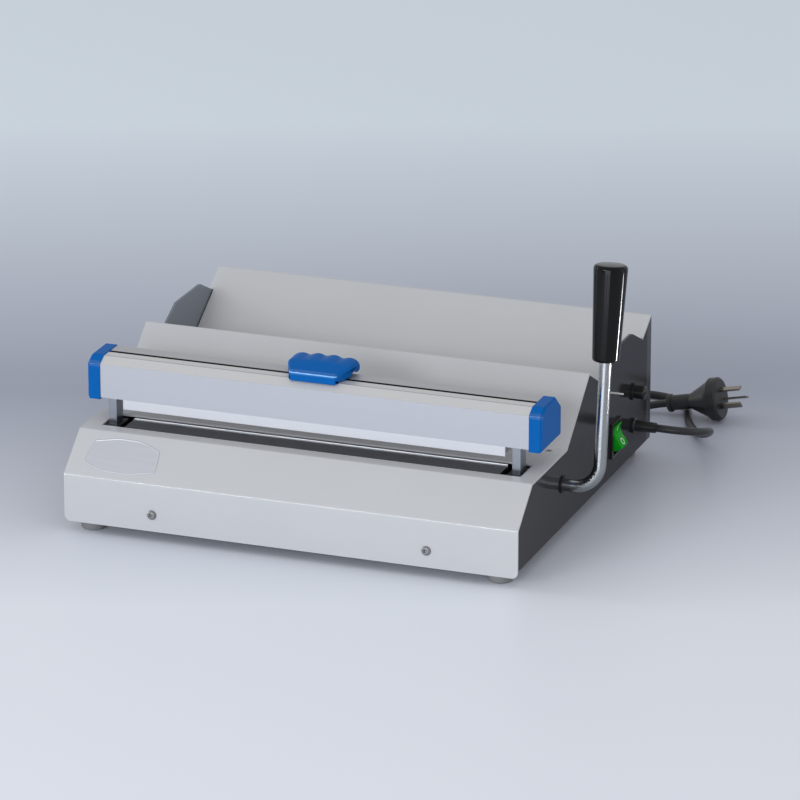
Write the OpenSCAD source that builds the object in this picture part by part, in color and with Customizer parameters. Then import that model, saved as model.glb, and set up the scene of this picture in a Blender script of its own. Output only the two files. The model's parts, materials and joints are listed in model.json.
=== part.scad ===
/* [Body] */
// Width of the machine over its covers
body_w = 380; // [330:1:460]
// Thickness of the cover and side sheets
sheet_t = 1.5; // [1:0.1:2]
// Inside radius of the bends in the sheets
bend_r = 1; // [0.6:0.1:2]
// Height of the front panel's lower edge
panel_z = 8; // [6:0.5:10]
// Radius of the front panel's lower corners
panel_corner_r = 5; // [3:0.5:8]
// Height of the front panel's upper bend
front_top_z = 47.4; // [42:0.2:52]
// Depth of the sloping front face
slope_d = 33.6; // [28:0.2:38]
// Height of the working ledge
ledge_z = 74.9; // [72:0.1:78]
// Depth of the working ledge
ledge_d = 84.1; // [80:0.1:88]
// Depth of the rising slope behind the ledge
rise_d = 54.7; // [50:0.1:60]
// Height of the ridge
ridge_z = 120.7; // [116:0.1:126]
// Height of the roll trough's floor
trough_z = 78; // [75:0.5:82]
// Depth of the slope that falls from the ridge into the trough
fall_d = 78.6; // [74:0.1:82]
// Depth of the trough's flat floor
trough_d = 11.6; // [8:0.1:14]
// Depth of the slope that rises from the trough to the back edge
climb_d = 71.4; // [62:0.1:76]
// Height of the back edge
back_top_z = 121.6; // [116:0.1:126]
// Height of the lower edge of the side plates and the back panel
side_z = 13.7; // [12:0.1:16]
// Outer radius of the side plates' bent back edges
back_bend_r = 4; // [3:0.5:9]
// Width of the side plates' back flanges
flange_w = 15; // [10:0.5:18]

/* [Roll cheeks] */
// Height of the cheeks' flat top
cheek_z = 119; // [115:0.5:122]
// Where the cheeks' flat top starts, behind the ridge
cheek_front_d = 57.6; // [54:0.1:62]
// Length of the cheeks' flat top
cheek_top_d = 51.8; // [46:0.1:54]
// Angle of the cheeks' sloping front and back edges
cheek_angle = 26; // [24:1:32]
// Radius of the cheeks' corners
cheek_r = 9; // [4:0.5:12]
// Gap between a cheek and the trough's sheet
cheek_gap = 1; // [0.4:0.1:1.5]
// How far a cheek reaches below the trough's surface
cheek_root = 8; // [5:0.5:9]

/* [Tray and feet] */
// Height of the tray floor's underside
tray_z = 15.2; // [14.5:0.1:17]
// Height of the tray's side flanges
tray_side_h = 14; // [10:1:18]
// Height of the tray's front and back flanges
tray_front_h = 20; // [16:1:24]
// Diameter of a foot at its foot
foot_d = 20; // [16:0.5:24]
// Diameter of a foot at the tray
foot_top_d = 22; // [16:0.5:24]
// Distance of the feet from the front and back panels
foot_inset_y = 14.5; // [13:0.5:20]
// Distance of the feet from the body's sides
foot_inset_x = 17.5; // [14:0.5:30]
// Diameter of the hole in a foot for its screw
foot_hole_d = 8; // [6:0.5:9]

/* [Screws] */
// Diameter of a panel screw's head
screw_head_d = 7.6; // [7:0.1:9]
// Height of a panel screw's head
screw_head_h = 2.2; // [1.8:0.1:3]
// Diameter of a panel screw's shank
screw_d = 4; // [3:0.1:4.5]
// Length of a panel screw's shank
screw_len = 8; // [6:0.5:12]
// Width across the flats of a screw's socket
socket_w = 3; // [2:0.1:3.5]
// Distance of the panel screws from the body's sides
screw_inset_x = 73.5; // [40:0.5:100]
// Height of the panel screws
screw_z = 22; // [20:0.5:26]
// Diameter of a ledge screw's countersunk head
ledge_screw_d = 5.6; // [4.5:0.1:7]
// Diameter of a ledge screw's shank
ledge_shank_d = 3; // [2.5:0.1:3.5]
// Distance of the ledge screws from the body's sides
ledge_screw_inset_x = 11.1; // [10:0.1:15]
// Distance of the ledge screws from the ledge's back bend
ledge_screw_inset_y = 7.1; // [6:0.1:10]

/* [Press bar] */
// How far the bar with its end caps reaches beyond the posts
bar_reach = 17.6; // [15:0.1:20]
// Length of an end cap outside the bar
cap_t = 10.8; // [8:0.1:12]
// Place of the bar's front face
bar_y = 53.3; // [52:0.1:55]
// Depth of the bar
bar_d = 46.2; // [44:0.1:50]
// Height of the bar's underside at rest
bar_z = 95; // [93:0.1:98]
// Height of the bar's section
bar_h = 32.5; // [30:0.1:36]
// Depth of the bar's front chamfer
front_chamfer_d = 8.7; // [6:0.1:10]
// Height of the bar's front chamfer
front_chamfer_h = 4.7; // [3:0.1:6]
// Depth of the bar's back chamfer
back_chamfer_d = 11.5; // [8:0.1:13]
// Height of the bar's back chamfer
back_chamfer_h = 10; // [8:0.1:12]
// Wall of the bar's section
bar_wall = 1.8; // [1.5:0.1:2]
// Width of the cutter's slot in the bar
cut_slot_w = 3.4; // [2:0.1:4]
// Distance of the cutter's slot from the bar's front face
cut_slot_in = 19.7; // [19:0.1:21]
// Width of the slider's channel in the bar
channel_w = 14; // [12:0.5:15]
// Height of the slider's channel in the bar
channel_h = 5.6; // [4.5:0.1:7]
// How far the end caps stand proud of the bar's section
cap_proud = 0.8; // [0.4:0.1:1.2]
// How far the end caps hang below the bar's underside
cap_drop = 1.8; // [1:0.1:2.5]
// How far the bar travels from rest to closed
travel = 12.6; // [11:0.1:14]

/* [Jaws] */
// Gap between the upper jaw's ends and the posts
jaw_post_gap = 5.8; // [4:0.1:10]
// Depth of the upper jaw
upper_jaw_d = 15.4; // [14:0.1:16]
// Height of the upper jaw below the bar
upper_jaw_h = 8; // [7:0.1:8.5]
// Width of the pressing strip
strip_w = 10; // [8:0.5:11]
// Distance of the lower jaw from the bar's front face, towards the front
lower_jaw_lead = 4.3; // [3.5:0.1:5]
// Depth of the lower jaw
lower_jaw_d = 17.6; // [16.5:0.1:18]
// Height of the lower jaw's section
lower_jaw_h = 24; // [20:0.5:26]
// Width of the heating ribbon
ribbon_w = 5; // [3:0.5:8]
// Thickness of the heating ribbon
ribbon_t = 0.2; // [0.1:0.05:0.3]
// Thickness of the non-stick tape
tape_t = 0.3; // [0.2:0.05:0.4]
// Thickness of the clamp strips
clamp_t = 1.6; // [1.2:0.1:2]

/* [Ledge slot] */
// Distance of the slot's ends from the body's sides
slot_inset_x = 13.8; // [12:0.1:16]
// Place of the slot's front edge
slot_y = 45.6; // [45:0.1:47]
// Depth of the slot
slot_d = 29.6; // [29:0.1:32]
// Radius of the slot's corners
slot_r = 1; // [0.5:0.5:3]

/* [Posts and lever] */
// Distance of the posts' middles from the body's sides
post_inset_x = 18.6; // [18:0.1:22]
// Width of a post
post_w = 6.7; // [6:0.1:7.5]
// Depth of a post
post_d = 12.8; // [11:0.1:13.4]
// Distance of the posts' centres behind the bar's front face
post_in = 6.7; // [6.7:0.1:7.5]
// Place of the lever shaft
shaft_y = 107; // [100:0.5:110]
// Height of the lever shaft
shaft_z = 49.5; // [48:0.5:52]
// Diameter of the lever rod
rod_d = 10; // [9:0.5:11]
// Middle radius of the lever rod's elbow
elbow_r = 20; // [16:1:24]
// Distance of the upright lever outside the body's side
lever_out = 31.4; // [29:0.1:36]
// Length of the lever from the shaft's middle to the grip
lever_len = 102; // [90:1:120]
// How far the lever leans back at rest
lever_lean = 7.8; // [6:0.1:9]
// Length of the grip
grip_len = 77; // [70:1:90]
// Diameter of the grip's lower end
grip_d = 21.5; // [18:0.5:24]
// Diameter of the grip's upper end
grip_top_d = 27.4; // [23:0.1:30]
// Radius of the grip's lower edge
grip_edge_r = 2.5; // [1.5:0.5:4]
// Radius of the grip's upper edge
grip_top_r = 3; // [2:0.5:6]
// Thickness of a crank arm
arm_t = 4; // [3:0.1:4.2]
// Radius of a crank arm's tip
arm_tip_r = 7; // [6:0.1:7.5]
// Diameter of a crank arm's hub
hub_d = 22; // [18:0.5:24]
// Length of a crank arm's hub
hub_len = 12; // [8:0.5:14]
// Diameter of a crank pin
pin_d = 6; // [5:0.1:6.4]
// Diameter of a shaft bush's flange
bush_flange_d = 14; // [13:0.1:16]
// Thickness of a shaft bush's flange
bush_flange_t = 1.2; // [1:0.1:2]

/* [Cutter] */
// Width of the cutter handle at its front edge
handle_w = 39; // [35:0.5:44]
// Width of the cutter handle at its back edge
handle_back_w = 55; // [50:0.5:60]
// How far the handle's front edge reaches over the bar's front chamfer
handle_lead = 3.6; // [2:0.1:5]
// Depth of the cutter handle
handle_d = 36.6; // [34:0.1:38]
// Height of the cutter handle's front edge
handle_front_h = 6.4; // [5:0.1:7]
// Height of the cutter handle's back edge above the bar
handle_h = 10.4; // [9:0.1:12]
// Thickness of the cutter handle's overhanging back edge
handle_lip_t = 9; // [7:0.5:9]
// Depth of the hollows between the finger humps
hump_h = 1.4; // [0.8:0.1:2]
// Place of the cutter on the bar at rest, from the bar's middle
cutter_rest_x = -1.7; // [-10:0.1:10]
// Length of the slider's shoe
shoe_len = 44; // [36:1:60]
// Thickness of the cutter blade
blade_t = 1; // [0.8:0.1:1.2]
// Width of the cutter blade
blade_w = 18; // [14:1:22]
// How far the blade reaches below the upper jaw
blade_reach = 3.2; // [2:0.1:3.4]
// How far the cutter slides to either side
cutter_travel = 146; // [100:1:148]

/* [Right side fittings] */
// Distance of the switch's middle from the back
switch_inset_y = 97; // [88:0.5:100]
// Height of the switch's middle
switch_z = 44.5; // [42:0.5:52]
// Width of the switch's frame
switch_w = 23; // [20:0.5:25]
// Height of the switch's frame
switch_h = 30; // [27:0.5:32]
// How far the switch's frame stands proud
switch_proud = 2; // [1.5:0.1:3]
// Tilt of the rocker to either side of the middle
rocker_tilt = 10; // [7:1:11]
// Distance of the fuse holder and the cable gland from the back
inlet_inset_y = 50; // [44:0.5:56]
// Height of the fuse holder
fuse_z = 68.5; // [66:0.5:72]
// Diameter of the fuse holder's flange
fuse_flange_d = 14; // [13:0.5:16]
// Diameter of the fuse cap
fuse_cap_d = 11; // [10:0.5:12]
// Length of the fuse cap outside the flange
fuse_cap_len = 9; // [7:0.5:11]
// Height of the cable gland
gland_z = 39.5; // [37:0.5:43]
// Diameter of the cable gland's head
gland_d = 12.5; // [11.5:0.5:15]
// Length of the cable gland outside the body
gland_len = 20; // [20:0.5:24]

/* [Mains cord] */
// Diameter of the cord
cord_d = 6.4; // [6:0.1:6.6]
// Diameter of the plug's disc
plug_d = 36; // [34:0.5:38]
// Length of the plug without its pins
plug_len = 47; // [44:0.5:50]
// Tilt of the plug as it lies on its disc and on the cord
plug_tilt = 12; // [11.5:0.1:12.5]

/* [Hidden] */
$fn = 48;

// One overrun serves all cuts, and one running gap all loose fits
over = 1;
run_gap = 0.3;
fit_gap = 0.05;
arc_steps = 6;

// Places along the side profile
ledge_back_y = slope_d + ledge_d;
ridge_y = ledge_back_y + rise_d;
trough_y = ridge_y + fall_d;
trough_end_y = trough_y + trough_d;
body_d = trough_end_y + climb_d + sheet_t;
side_x = body_w / 2;
half_w = side_x - sheet_t;
post_x = half_w - post_inset_x;
back_y = body_d - sheet_t;
bar_top_z = bar_z + bar_h;
bar_half = post_x + post_w / 2 + bar_reach - cap_t;

// The origin lies under the middle of the machine's box
lever_x = half_w + lever_out;
mid_x = (lever_x + grip_top_d / 2 - side_x - bush_flange_t) / 2;
mid_y = back_y / 2;
switch_y = body_d - switch_inset_y;
inlet_y = body_d - inlet_inset_y;

module placed() {
    translate([-mid_x, -mid_y, 0]) children();
}

// A section drawn in Y and Z, run along X
module along_x(from_x, to_x) {
    translate([from_x, 0, 0]) rotate([90, 0, 90]) linear_extrude(height = to_x - from_x) children();
}

// A round bar along X
module rod_x(from_x, to_x, r) {
    translate([from_x, 0, 0]) rotate([0, 90, 0]) cylinder(h = to_x - from_x, r = r);
}

// A box between two corners
module span_box(low, high) {
    translate(low) cube(high - low);
}

function unit(v) = v / norm(v);
function turn(a, b, c) = cross(b - a, c - b);

// Points of an arc that rounds the corner at b
function corner(a, b, c, r) =
    let (u = unit(a - b), v = unit(c - b), half = acos(u * v) / 2)
    let (mid = b + unit(u + v) * r / sin(half), p = b + u * r / tan(half) - mid)
    let (q = b + v * r / tan(half) - mid, from = atan2(p[1], p[0]))
    let (step = 2 * (90 - half) * (turn(a, b, c) > 0 ? 1 : -1) / arc_steps)
    [for (k = [0 : arc_steps]) mid + r * [cos(from + k * step), sin(from + k * step)]];

// An open path with its inner corners rounded, by one radius for each way of turning
function bent(p, left_r, right_r) = [
    p[0],
    for (i = [1 : len(p) - 2])
        each corner(p[i - 1], p[i], p[i + 1], turn(p[i - 1], p[i], p[i + 1]) > 0 ? left_r : right_r),
    p[len(p) - 1]];

function right_of(a, b) = let (u = unit(b - a)) [u[1], -u[0]];

// The same path moved to its right by a thickness
function shifted(p, t) = [for (i = [0 : len(p) - 1])
    i == 0 ? p[0] + t * right_of(p[0], p[1])
    : i == len(p) - 1 ? p[i] + t * right_of(p[i - 1], p[i])
    : let (m = right_of(p[i - 1], p[i]), n = right_of(p[i], p[i + 1])) p[i] + t * (m + n) / (1 + m * n)];

function backwards(p) = [for (i = [len(p) - 1 : -1 : 0]) p[i]];

// The closed outline of a bent sheet whose outer face follows the path
function sheet(p, t) = concat(bent(p, bend_r, bend_r + t), backwards(bent(shifted(p, t), bend_r + t, bend_r)));

front_path = [[0, panel_z], [0, front_top_z], [slope_d, ledge_z], [ledge_back_y, ledge_z],
    [ridge_y, ridge_z], [trough_y, trough_z], [trough_end_y, trough_z]];
rear_path = [[trough_end_y, trough_z], [back_y, back_top_z], [back_y, side_z]];

// Heights of the two trough slopes, and where a cheek rises from them
function fall_z(y) = ridge_z - (ridge_z - trough_z) * (y - ridge_y) / fall_d;
function climb_z(y) = trough_z + (back_top_z - trough_z) * (y - trough_end_y) / (back_y - trough_end_y);
fall_share = (ridge_z - trough_z) / fall_d;
climb_share = (back_top_z - trough_z) / (back_y - trough_end_y);
cheek_top_y = ridge_y + cheek_front_d;
cheek_foot_y = (cheek_z - ridge_z - tan(cheek_angle) * cheek_top_y - fall_share * ridge_y)
    / (-fall_share - tan(cheek_angle));
cheek_back_y = cheek_top_y + cheek_top_d;
cheek_heel_y = (cheek_z + tan(cheek_angle) * cheek_back_y - trough_z + climb_share * trough_end_y)
    / (climb_share + tan(cheek_angle));
cheek_x = half_w - sheet_t;

// What lies under the covers: a side plate's outline, tucked below their sheets
tuck = sheet_t + run_gap;
top_path = concat(front_path, [[back_y, back_top_z], [body_d + over, back_top_z + over * climb_share]]);
tucked_path = shifted(top_path, tuck);
plate_outline = concat([for (i = [0 : len(tucked_path) - 2]) [tucked_path[i][0], max(side_z, tucked_path[i][1])]],
    [[body_d + over, tucked_path[len(tucked_path) - 2][1]], [body_d + over, side_z]]);

// A cheek's outline, from its root under the trough to its flat top
cheek_outline = concat(
    [[cheek_foot_y, fall_z(cheek_foot_y)]],
    corner([cheek_foot_y, fall_z(cheek_foot_y)], [cheek_top_y, cheek_z], [cheek_back_y, cheek_z], cheek_r),
    corner([cheek_top_y, cheek_z], [cheek_back_y, cheek_z], [cheek_heel_y, climb_z(cheek_heel_y)], cheek_r),
    [[cheek_heel_y, climb_z(cheek_heel_y)], [cheek_heel_y, climb_z(cheek_heel_y) - cheek_root],
        [trough_end_y, trough_z - cheek_root], [trough_y, trough_z - cheek_root],
        [cheek_foot_y, fall_z(cheek_foot_y) - cheek_root]]);

// What fills a side plate up to the covers' height beside its cheek
cheek_seat = concat(
    [[cheek_foot_y, fall_z(cheek_foot_y)], [trough_y, trough_z], [trough_end_y, trough_z]],
    [for (i = [2 * arc_steps + 3 : len(cheek_outline) - 1]) cheek_outline[i]]);

// The notch that a cheek needs in the ends of the covers' sheets
module cheek_notches() {
    for (side = [-1, 1]) {
        from_x = side > 0 ? cheek_x - cheek_gap : -side_x - over;
        span_box([from_x, cheek_foot_y - cheek_gap, 0], [from_x + side_x + over - cheek_x + cheek_gap,
            cheek_heel_y + cheek_gap, ridge_z + over]);
    }
}

// The front panel, slope, ledge, ridge and the front half of the trough in one bent sheet
module front_cover() {
    color("gainsboro") placed() difference() {
        along_x(-side_x, side_x) polygon(sheet(front_path, sheet_t));
        cheek_notches();
        ledge_slot(slot_len, slot_y, slot_d);
        for (side = [-1, 1]) {
            translate([side * screw_x, -over, screw_z]) panel_hole();
            translate([side * ledge_screw_x, ledge_screw_y, ledge_z]) ledge_screw_solid(fit_gap);
            panel_corner(side);
        }
    }
}

module ledge_slot(length, from_y, depth) {
    translate([0, from_y + depth / 2, ledge_z - sheet_t - over]) linear_extrude(height = sheet_t + 2 * over)
        union() {
            square([length - 2 * slot_r, depth], center = true);
            square([length, depth - 2 * slot_r], center = true);
            for (x = [-1, 1], y = [-1, 1])
                translate([x * (length / 2 - slot_r), y * (depth / 2 - slot_r)]) circle(r = slot_r);
        }
}

module panel_hole() {
    rotate([-90, 0, 0]) cylinder(h = sheet_t * 2 + 2 * over, r = screw_d / 2 + fit_gap);
}

// What is cut off to round one lower corner of the front panel
module panel_corner(side) {
    r = panel_corner_r;
    translate([side * (side_x - r), sheet_t + over, panel_z + r]) rotate([90, 0, 0])
        linear_extrude(height = sheet_t + 2 * over) difference() {
            translate([side > 0 ? 0 : -r - over, -r - over]) square(r + over);
            circle(r = r);
        }
}

// The back half of the trough and the back panel, which is narrow enough for the side plates' bent edges
module rear_cover() {
    wide = side_x - back_bend_r - cheek_gap;
    panel_top_z = back_top_z - tuck * 3 / 2;
    color("gainsboro") placed() difference() {
        along_x(-side_x, side_x) polygon(sheet(rear_path, sheet_t));
        cheek_notches();
        for (side = [-1, 1]) {
            from_x = side > 0 ? wide : -side_x - over;
            span_box([from_x, back_y - 2 * sheet_t, side_z - over],
                [from_x + side_x + over - wide, body_d, panel_top_z]);
            translate([side * screw_x, back_y - 2 * sheet_t - over, screw_z]) panel_hole();
        }
    }
}

// A side plate's plan, bent inwards round the back: an outer shape less an inner one
module plate_plan(inset) {
    r = back_bend_r - inset;
    x = side_x - inset;
    y = body_d - inset;
    union() {
        translate([0, inset > 0 ? -over : 0]) square([x, y - r + (inset > 0 ? over : 0)]);
        translate([0, inset > 0 ? -over : 0]) square([x - r, y + (inset > 0 ? over : 0)]);
        translate([x - r, y - r]) circle(r = r);
    }
}

// One side plate with its roll cheek and the tab that takes the ledge screw
module side_plate(side) {
    flange_x = side_x - back_bend_r - flange_w;
    flange_top_z = back_top_z - tuck * 2;
    difference() {
        union() {
            intersection() {
                along_x(side > 0 ? 0 : -side_x, side > 0 ? side_x : 0) polygon(plate_outline);
                translate([0, 0, side_z]) linear_extrude(height = flange_top_z - side_z) scale_side(side)
                    difference() {
                        plate_plan(0);
                        plate_plan(sheet_t);
                        translate([-over, -over]) square([flange_x + over, body_d + 2 * over]);
                    }
            }
            along_x(side > 0 ? cheek_x : -half_w - fit_gap, side > 0 ? half_w + fit_gap : -cheek_x)
                polygon(cheek_outline);
            along_x(side > 0 ? half_w - fit_gap : -side_x, side > 0 ? side_x : fit_gap - half_w)
                polygon(cheek_seat);
            span_box([side > 0 ? ledge_screw_x - tab_w / 2 : -half_w - fit_gap, ledge_screw_y - tab_w / 2,
                ledge_z - 2 * sheet_t], [side > 0 ? half_w + fit_gap : -ledge_screw_x + tab_w / 2,
                ledge_screw_y + tab_w / 2, ledge_z - sheet_t]);
        }
        translate([side * ledge_screw_x, ledge_screw_y, ledge_z]) ledge_screw_solid(fit_gap);
        translate([0, shaft_y, shaft_z]) rod_x(side > 0 ? half_w - over : -side_x - over,
            side > 0 ? side_x + over : -half_w + over, bush_r);
    }
}

// The same plan on the right, or mirrored on the left
module scale_side(side) {
    if (side > 0) children();
    else mirror([1, 0]) children();
}

ledge_screw_x = half_w - ledge_screw_inset_x;
ledge_screw_y = ledge_back_y - ledge_screw_inset_y;
ledge_shank_len = 4 * sheet_t;
tab_w = 10;
bush_gap = 0.05;
bush_wall = 1;
bush_r = rod_d / 2 + bush_gap + bush_wall;

module left_side_plate() {
    color("dimgray") placed() side_plate(-1);
}

module right_side_plate() {
    color("dimgray") placed() difference() {
        side_plate(1);
        span_box([half_w - over, switch_y - switch_body_w / 2 - fit_gap, switch_z - switch_body_h / 2 - fit_gap],
            [side_x + over, switch_y + switch_body_w / 2 + fit_gap, switch_z + switch_body_h / 2 + fit_gap]);
        translate([0, inlet_y, fuse_z]) rod_x(half_w - over, side_x + over, fuse_body_r + fit_gap);
        translate([0, inlet_y, gland_z]) rod_x(half_w - over, side_x + over, gland_neck_r + fit_gap);
    }
}

// The tray that closes the underside and carries everything inside
module base_tray() {
    tray_x = half_w;
    inner_x = tray_x - sheet_t;
    front = sheet_t;
    back = back_y - sheet_t;
    side_back = body_d - back_bend_r;
    color("darkgray") placed() difference() {
        union() {
            span_box([-tray_x, front, tray_z], [tray_x, side_back, tray_z + sheet_t]);
            span_box([back_bend_r - tray_x, front, tray_z], [tray_x - back_bend_r, back, tray_z + sheet_t]);
            for (side = [-1, 1])
                span_box([side > 0 ? inner_x : -tray_x, front, tray_z],
                    [side > 0 ? tray_x : -inner_x, side_back, tray_z + tray_side_h]);
            span_box([-tray_x, front, tray_z], [tray_x, front + sheet_t, tray_z + tray_front_h]);
            span_box([back_bend_r - tray_x, back - sheet_t, tray_z],
                [tray_x - back_bend_r, back, tray_z + tray_front_h]);
            for (side = [-1, 1]) translate([side * post_x, post_y, tray_floor_z])
                cylinder(h = seat_h, r = spring_r - wire_d);
        }
        for (side = [-1, 1], y = [sheet_t - over, back_y - 2 * sheet_t - over])
            translate([side * screw_x, y, screw_z]) panel_hole();
        for (x = [-1, 1], y = [foot_inset_y, back_y - foot_inset_y])
            translate([x * foot_x, y, tray_z - over]) cylinder(h = sheet_t + 2 * over, r = foot_pin_r + fit_gap);
        vents();
    }
}

screw_x = half_w - screw_inset_x;
foot_x = half_w - foot_inset_x;
foot_pin_r = 2.5;
tray_floor_z = tray_z + sheet_t;
vent_len = 40;
vent_w = 4;
vent_pitch = 12;
vent_count = 7;

// Slots under the transformer that let its heat out
module vents() {
    for (i = [0 : vent_count - 1])
        translate([trafo_x + (i - (vent_count - 1) / 2) * vent_pitch, trafo_y, tray_z - over])
            linear_extrude(height = sheet_t + 2 * over) union() {
                square([vent_w, vent_len - vent_w], center = true);
                for (end = [-1, 1]) translate([0, end * (vent_len - vent_w) / 2]) circle(r = vent_w / 2);
            }
}

// Four rubber feet, each with a hollow for its screw and a pin through the tray
module feet() {
    edge = 1;
    color("gray") placed() for (x = [-1, 1], y = [foot_inset_y, back_y - foot_inset_y])
        translate([x * foot_x, y, 0]) rotate_extrude() polygon([
            [foot_hole_d / 2, 0], [foot_d / 2 - edge, 0], [foot_d / 2, edge], [foot_top_d / 2, tray_z],
            [foot_pin_r, tray_z], [foot_pin_r, tray_floor_z + sheet_t], [0, tray_floor_z + sheet_t],
            [0, tray_z / 2], [foot_hole_d / 2, tray_z / 2]]);
}

// A button head screw that points along Y, with its head outside
module panel_screw() {
    crown = screw_head_h / 2;
    rotate([-90, 0, 0]) difference() {
        union() {
            translate([0, 0, -screw_head_h]) cylinder(h = crown, r1 = screw_head_d / 2 - crown, r2 = screw_head_d / 2);
            translate([0, 0, crown - screw_head_h]) cylinder(h = screw_head_h - crown, r = screw_head_d / 2);
            cylinder(h = screw_len, r = screw_d / 2);
        }
        translate([0, 0, -screw_head_h - over]) cylinder(h = over + crown * 3 / 2, r = socket_w / sqrt(3), $fn = 6);
    }
}

// A countersunk screw in the ledge, cut or solid by its margin
module ledge_screw_solid(margin) {
    head = (ledge_screw_d - ledge_shank_d) / 2;
    translate([0, 0, -head]) cylinder(h = head, r1 = ledge_shank_d / 2 + margin, r2 = ledge_screw_d / 2 + margin);
    translate([0, 0, -ledge_shank_len]) cylinder(h = ledge_shank_len, r = ledge_shank_d / 2 + margin);
    if (margin > 0) cylinder(h = over, r = ledge_screw_d / 2 + margin);
}

module cover_screws() {
    color("silver") placed() for (side = [-1, 1]) {
        translate([side * screw_x, 0, screw_z]) panel_screw();
        translate([side * screw_x, back_y, screw_z]) rotate([0, 0, 180]) panel_screw();
        translate([side * ledge_screw_x, ledge_screw_y, ledge_z]) difference() {
            ledge_screw_solid(0);
            translate([0, 0, -ledge_shank_d / 3]) cylinder(h = ledge_shank_d, r = ledge_shank_d / 3, $fn = 6);
        }
    }
}

// Places along the jaws, from the posts inwards
arm_gap = 0.6;
guide_in_t = 3.4;
guide_x = post_x - post_w / 2 - guide_in_t;
arm_x = guide_x - arm_gap - arm_t;
lower_jaw_len = 2 * (arm_x - arm_gap);
upper_jaw_len = 2 * (post_x - post_w / 2 - jaw_post_gap);
slot_len = body_w - 2 * slot_inset_x;

// Places in the jaws, from the closed gap upwards
closed_gap = 0.1;
strip_drop = 0.3;
jaw_holder_z = bar_z - upper_jaw_h;
strip_z = jaw_holder_z - strip_drop;
tape_z = strip_z - travel - closed_gap;
insulation_t = 0.4;
lower_jaw_top = tape_z - tape_t - ribbon_t - insulation_t;
lower_jaw_y = bar_y - lower_jaw_lead;
lower_jaw_z = lower_jaw_top - lower_jaw_h;
clamp_h = 8;
clamp_lift = (strip_drop + closed_gap) / 2;
jaw_mid_y = bar_y + post_in;

// Two bent brackets that carry the lower jaw on the tray
module jaw_brackets() {
    bracket_w = 30;
    bracket_t = 3;
    bracket_share = 0.36;
    bracket_x = lower_jaw_len * bracket_share;
    color("silver") placed() for (side = [-1, 1])
        along_x(side * bracket_x - bracket_w / 2, side * bracket_x + bracket_w / 2) union() {
            translate([lower_jaw_y, tray_floor_z]) square([bracket_t, lower_jaw_z - tray_floor_z]);
            translate([lower_jaw_y, tray_floor_z]) square([lower_jaw_d + bracket_w / 2, bracket_t]);
            translate([lower_jaw_y, lower_jaw_z - bracket_t]) square([lower_jaw_d, bracket_t]);
            translate([lower_jaw_y + lower_jaw_d - bracket_t, tray_floor_z])
                square([bracket_t, lower_jaw_z - tray_floor_z]);
        }
}

// The lower jaw, an extruded channel with an open underside
module lower_jaw() {
    wall = 2.5;
    color("slategray") placed() along_x(-lower_jaw_len / 2, lower_jaw_len / 2) difference() {
        translate([lower_jaw_y, lower_jaw_z]) square([lower_jaw_d, lower_jaw_h]);
        translate([lower_jaw_y + wall, lower_jaw_z + wall])
            square([lower_jaw_d - 2 * wall, lower_jaw_h - 3 * wall]);
        translate([lower_jaw_y + 2 * wall, lower_jaw_z - over])
            square([lower_jaw_d - 4 * wall, wall + 2 * over]);
    }
}

module insulation_strip() {
    color("white") placed() along_x(-lower_jaw_len / 2, lower_jaw_len / 2)
        translate([jaw_mid_y - strip_w / 2, lower_jaw_top]) square([strip_w, insulation_t]);
}

module heating_element() {
    color("silver") placed() along_x(-lower_jaw_len / 2, lower_jaw_len / 2)
        translate([jaw_mid_y - ribbon_w / 2, lower_jaw_top + insulation_t]) square([ribbon_w, ribbon_t]);
}

// The non-stick cloth that covers the ribbon and hangs down both sides of the jaw
module nonstick_tape() {
    color("dimgray") placed() along_x(-lower_jaw_len / 2, lower_jaw_len / 2) difference() {
        translate([lower_jaw_y - tape_t, tape_z - clamp_h]) square([lower_jaw_d + 2 * tape_t, clamp_h]);
        translate([lower_jaw_y, tape_z - clamp_h - over])
            square([lower_jaw_d, clamp_h + over - tape_t - ribbon_t - insulation_t]);
        translate([jaw_mid_y - strip_w / 2, lower_jaw_top - over])
            square([strip_w, over + insulation_t]);
        translate([jaw_mid_y - ribbon_w / 2, lower_jaw_top]) square([ribbon_w, insulation_t + ribbon_t]);
    }
}

// Two strips that hold the cloth against the jaw, the back one a hair above the cloth
module clamp_strips() {
    color("silver") placed() along_x(-lower_jaw_len / 2, lower_jaw_len / 2) union() {
        translate([lower_jaw_y - tape_t - clamp_t, tape_z - clamp_h]) square([clamp_t, clamp_h - clamp_t]);
        translate([lower_jaw_y + lower_jaw_d + tape_t, tape_z - clamp_h]) square([clamp_t, clamp_h + clamp_lift]);
    }
}

// Posts, springs and crank places
post_y = bar_y + post_in;
arm_reach = shaft_y - post_y;
arm_angle = atan(travel / 2 / arm_reach);
pin_z = shaft_z + travel / 2;
post_foot_z = pin_z - pin_d * 1.4;
seat_h = 6;
spring_r = 5.2;
wire_d = 1.2;
guide_wall = 4;
guide_h = 11.5;

// Two guide blocks under the ledge, each with a square bore for its post and a flange beside it
module post_guides() {
    outer_x = post_x + post_w / 2 + guide_wall;
    front = post_y - post_d / 2 - guide_wall;
    back = post_y + post_d / 2 + guide_wall;
    top = ledge_z - sheet_t;
    color("black") placed() for (side = [-1, 1]) difference() {
        union() {
            span_box([side > 0 ? guide_x : -outer_x, front, top - guide_h],
                [side > 0 ? outer_x : -guide_x, back, top]);
            span_box([side > 0 ? outer_x - over : -half_w, front, top - guide_wall],
                [side > 0 ? half_w : over - outer_x, back, top]);
        }
        translate([side * post_x, post_y, top - guide_h / 2])
            cube([post_w + 2 * fit_gap, post_d + 2 * fit_gap, guide_h + 2 * over], center = true);
    }
}

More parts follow.
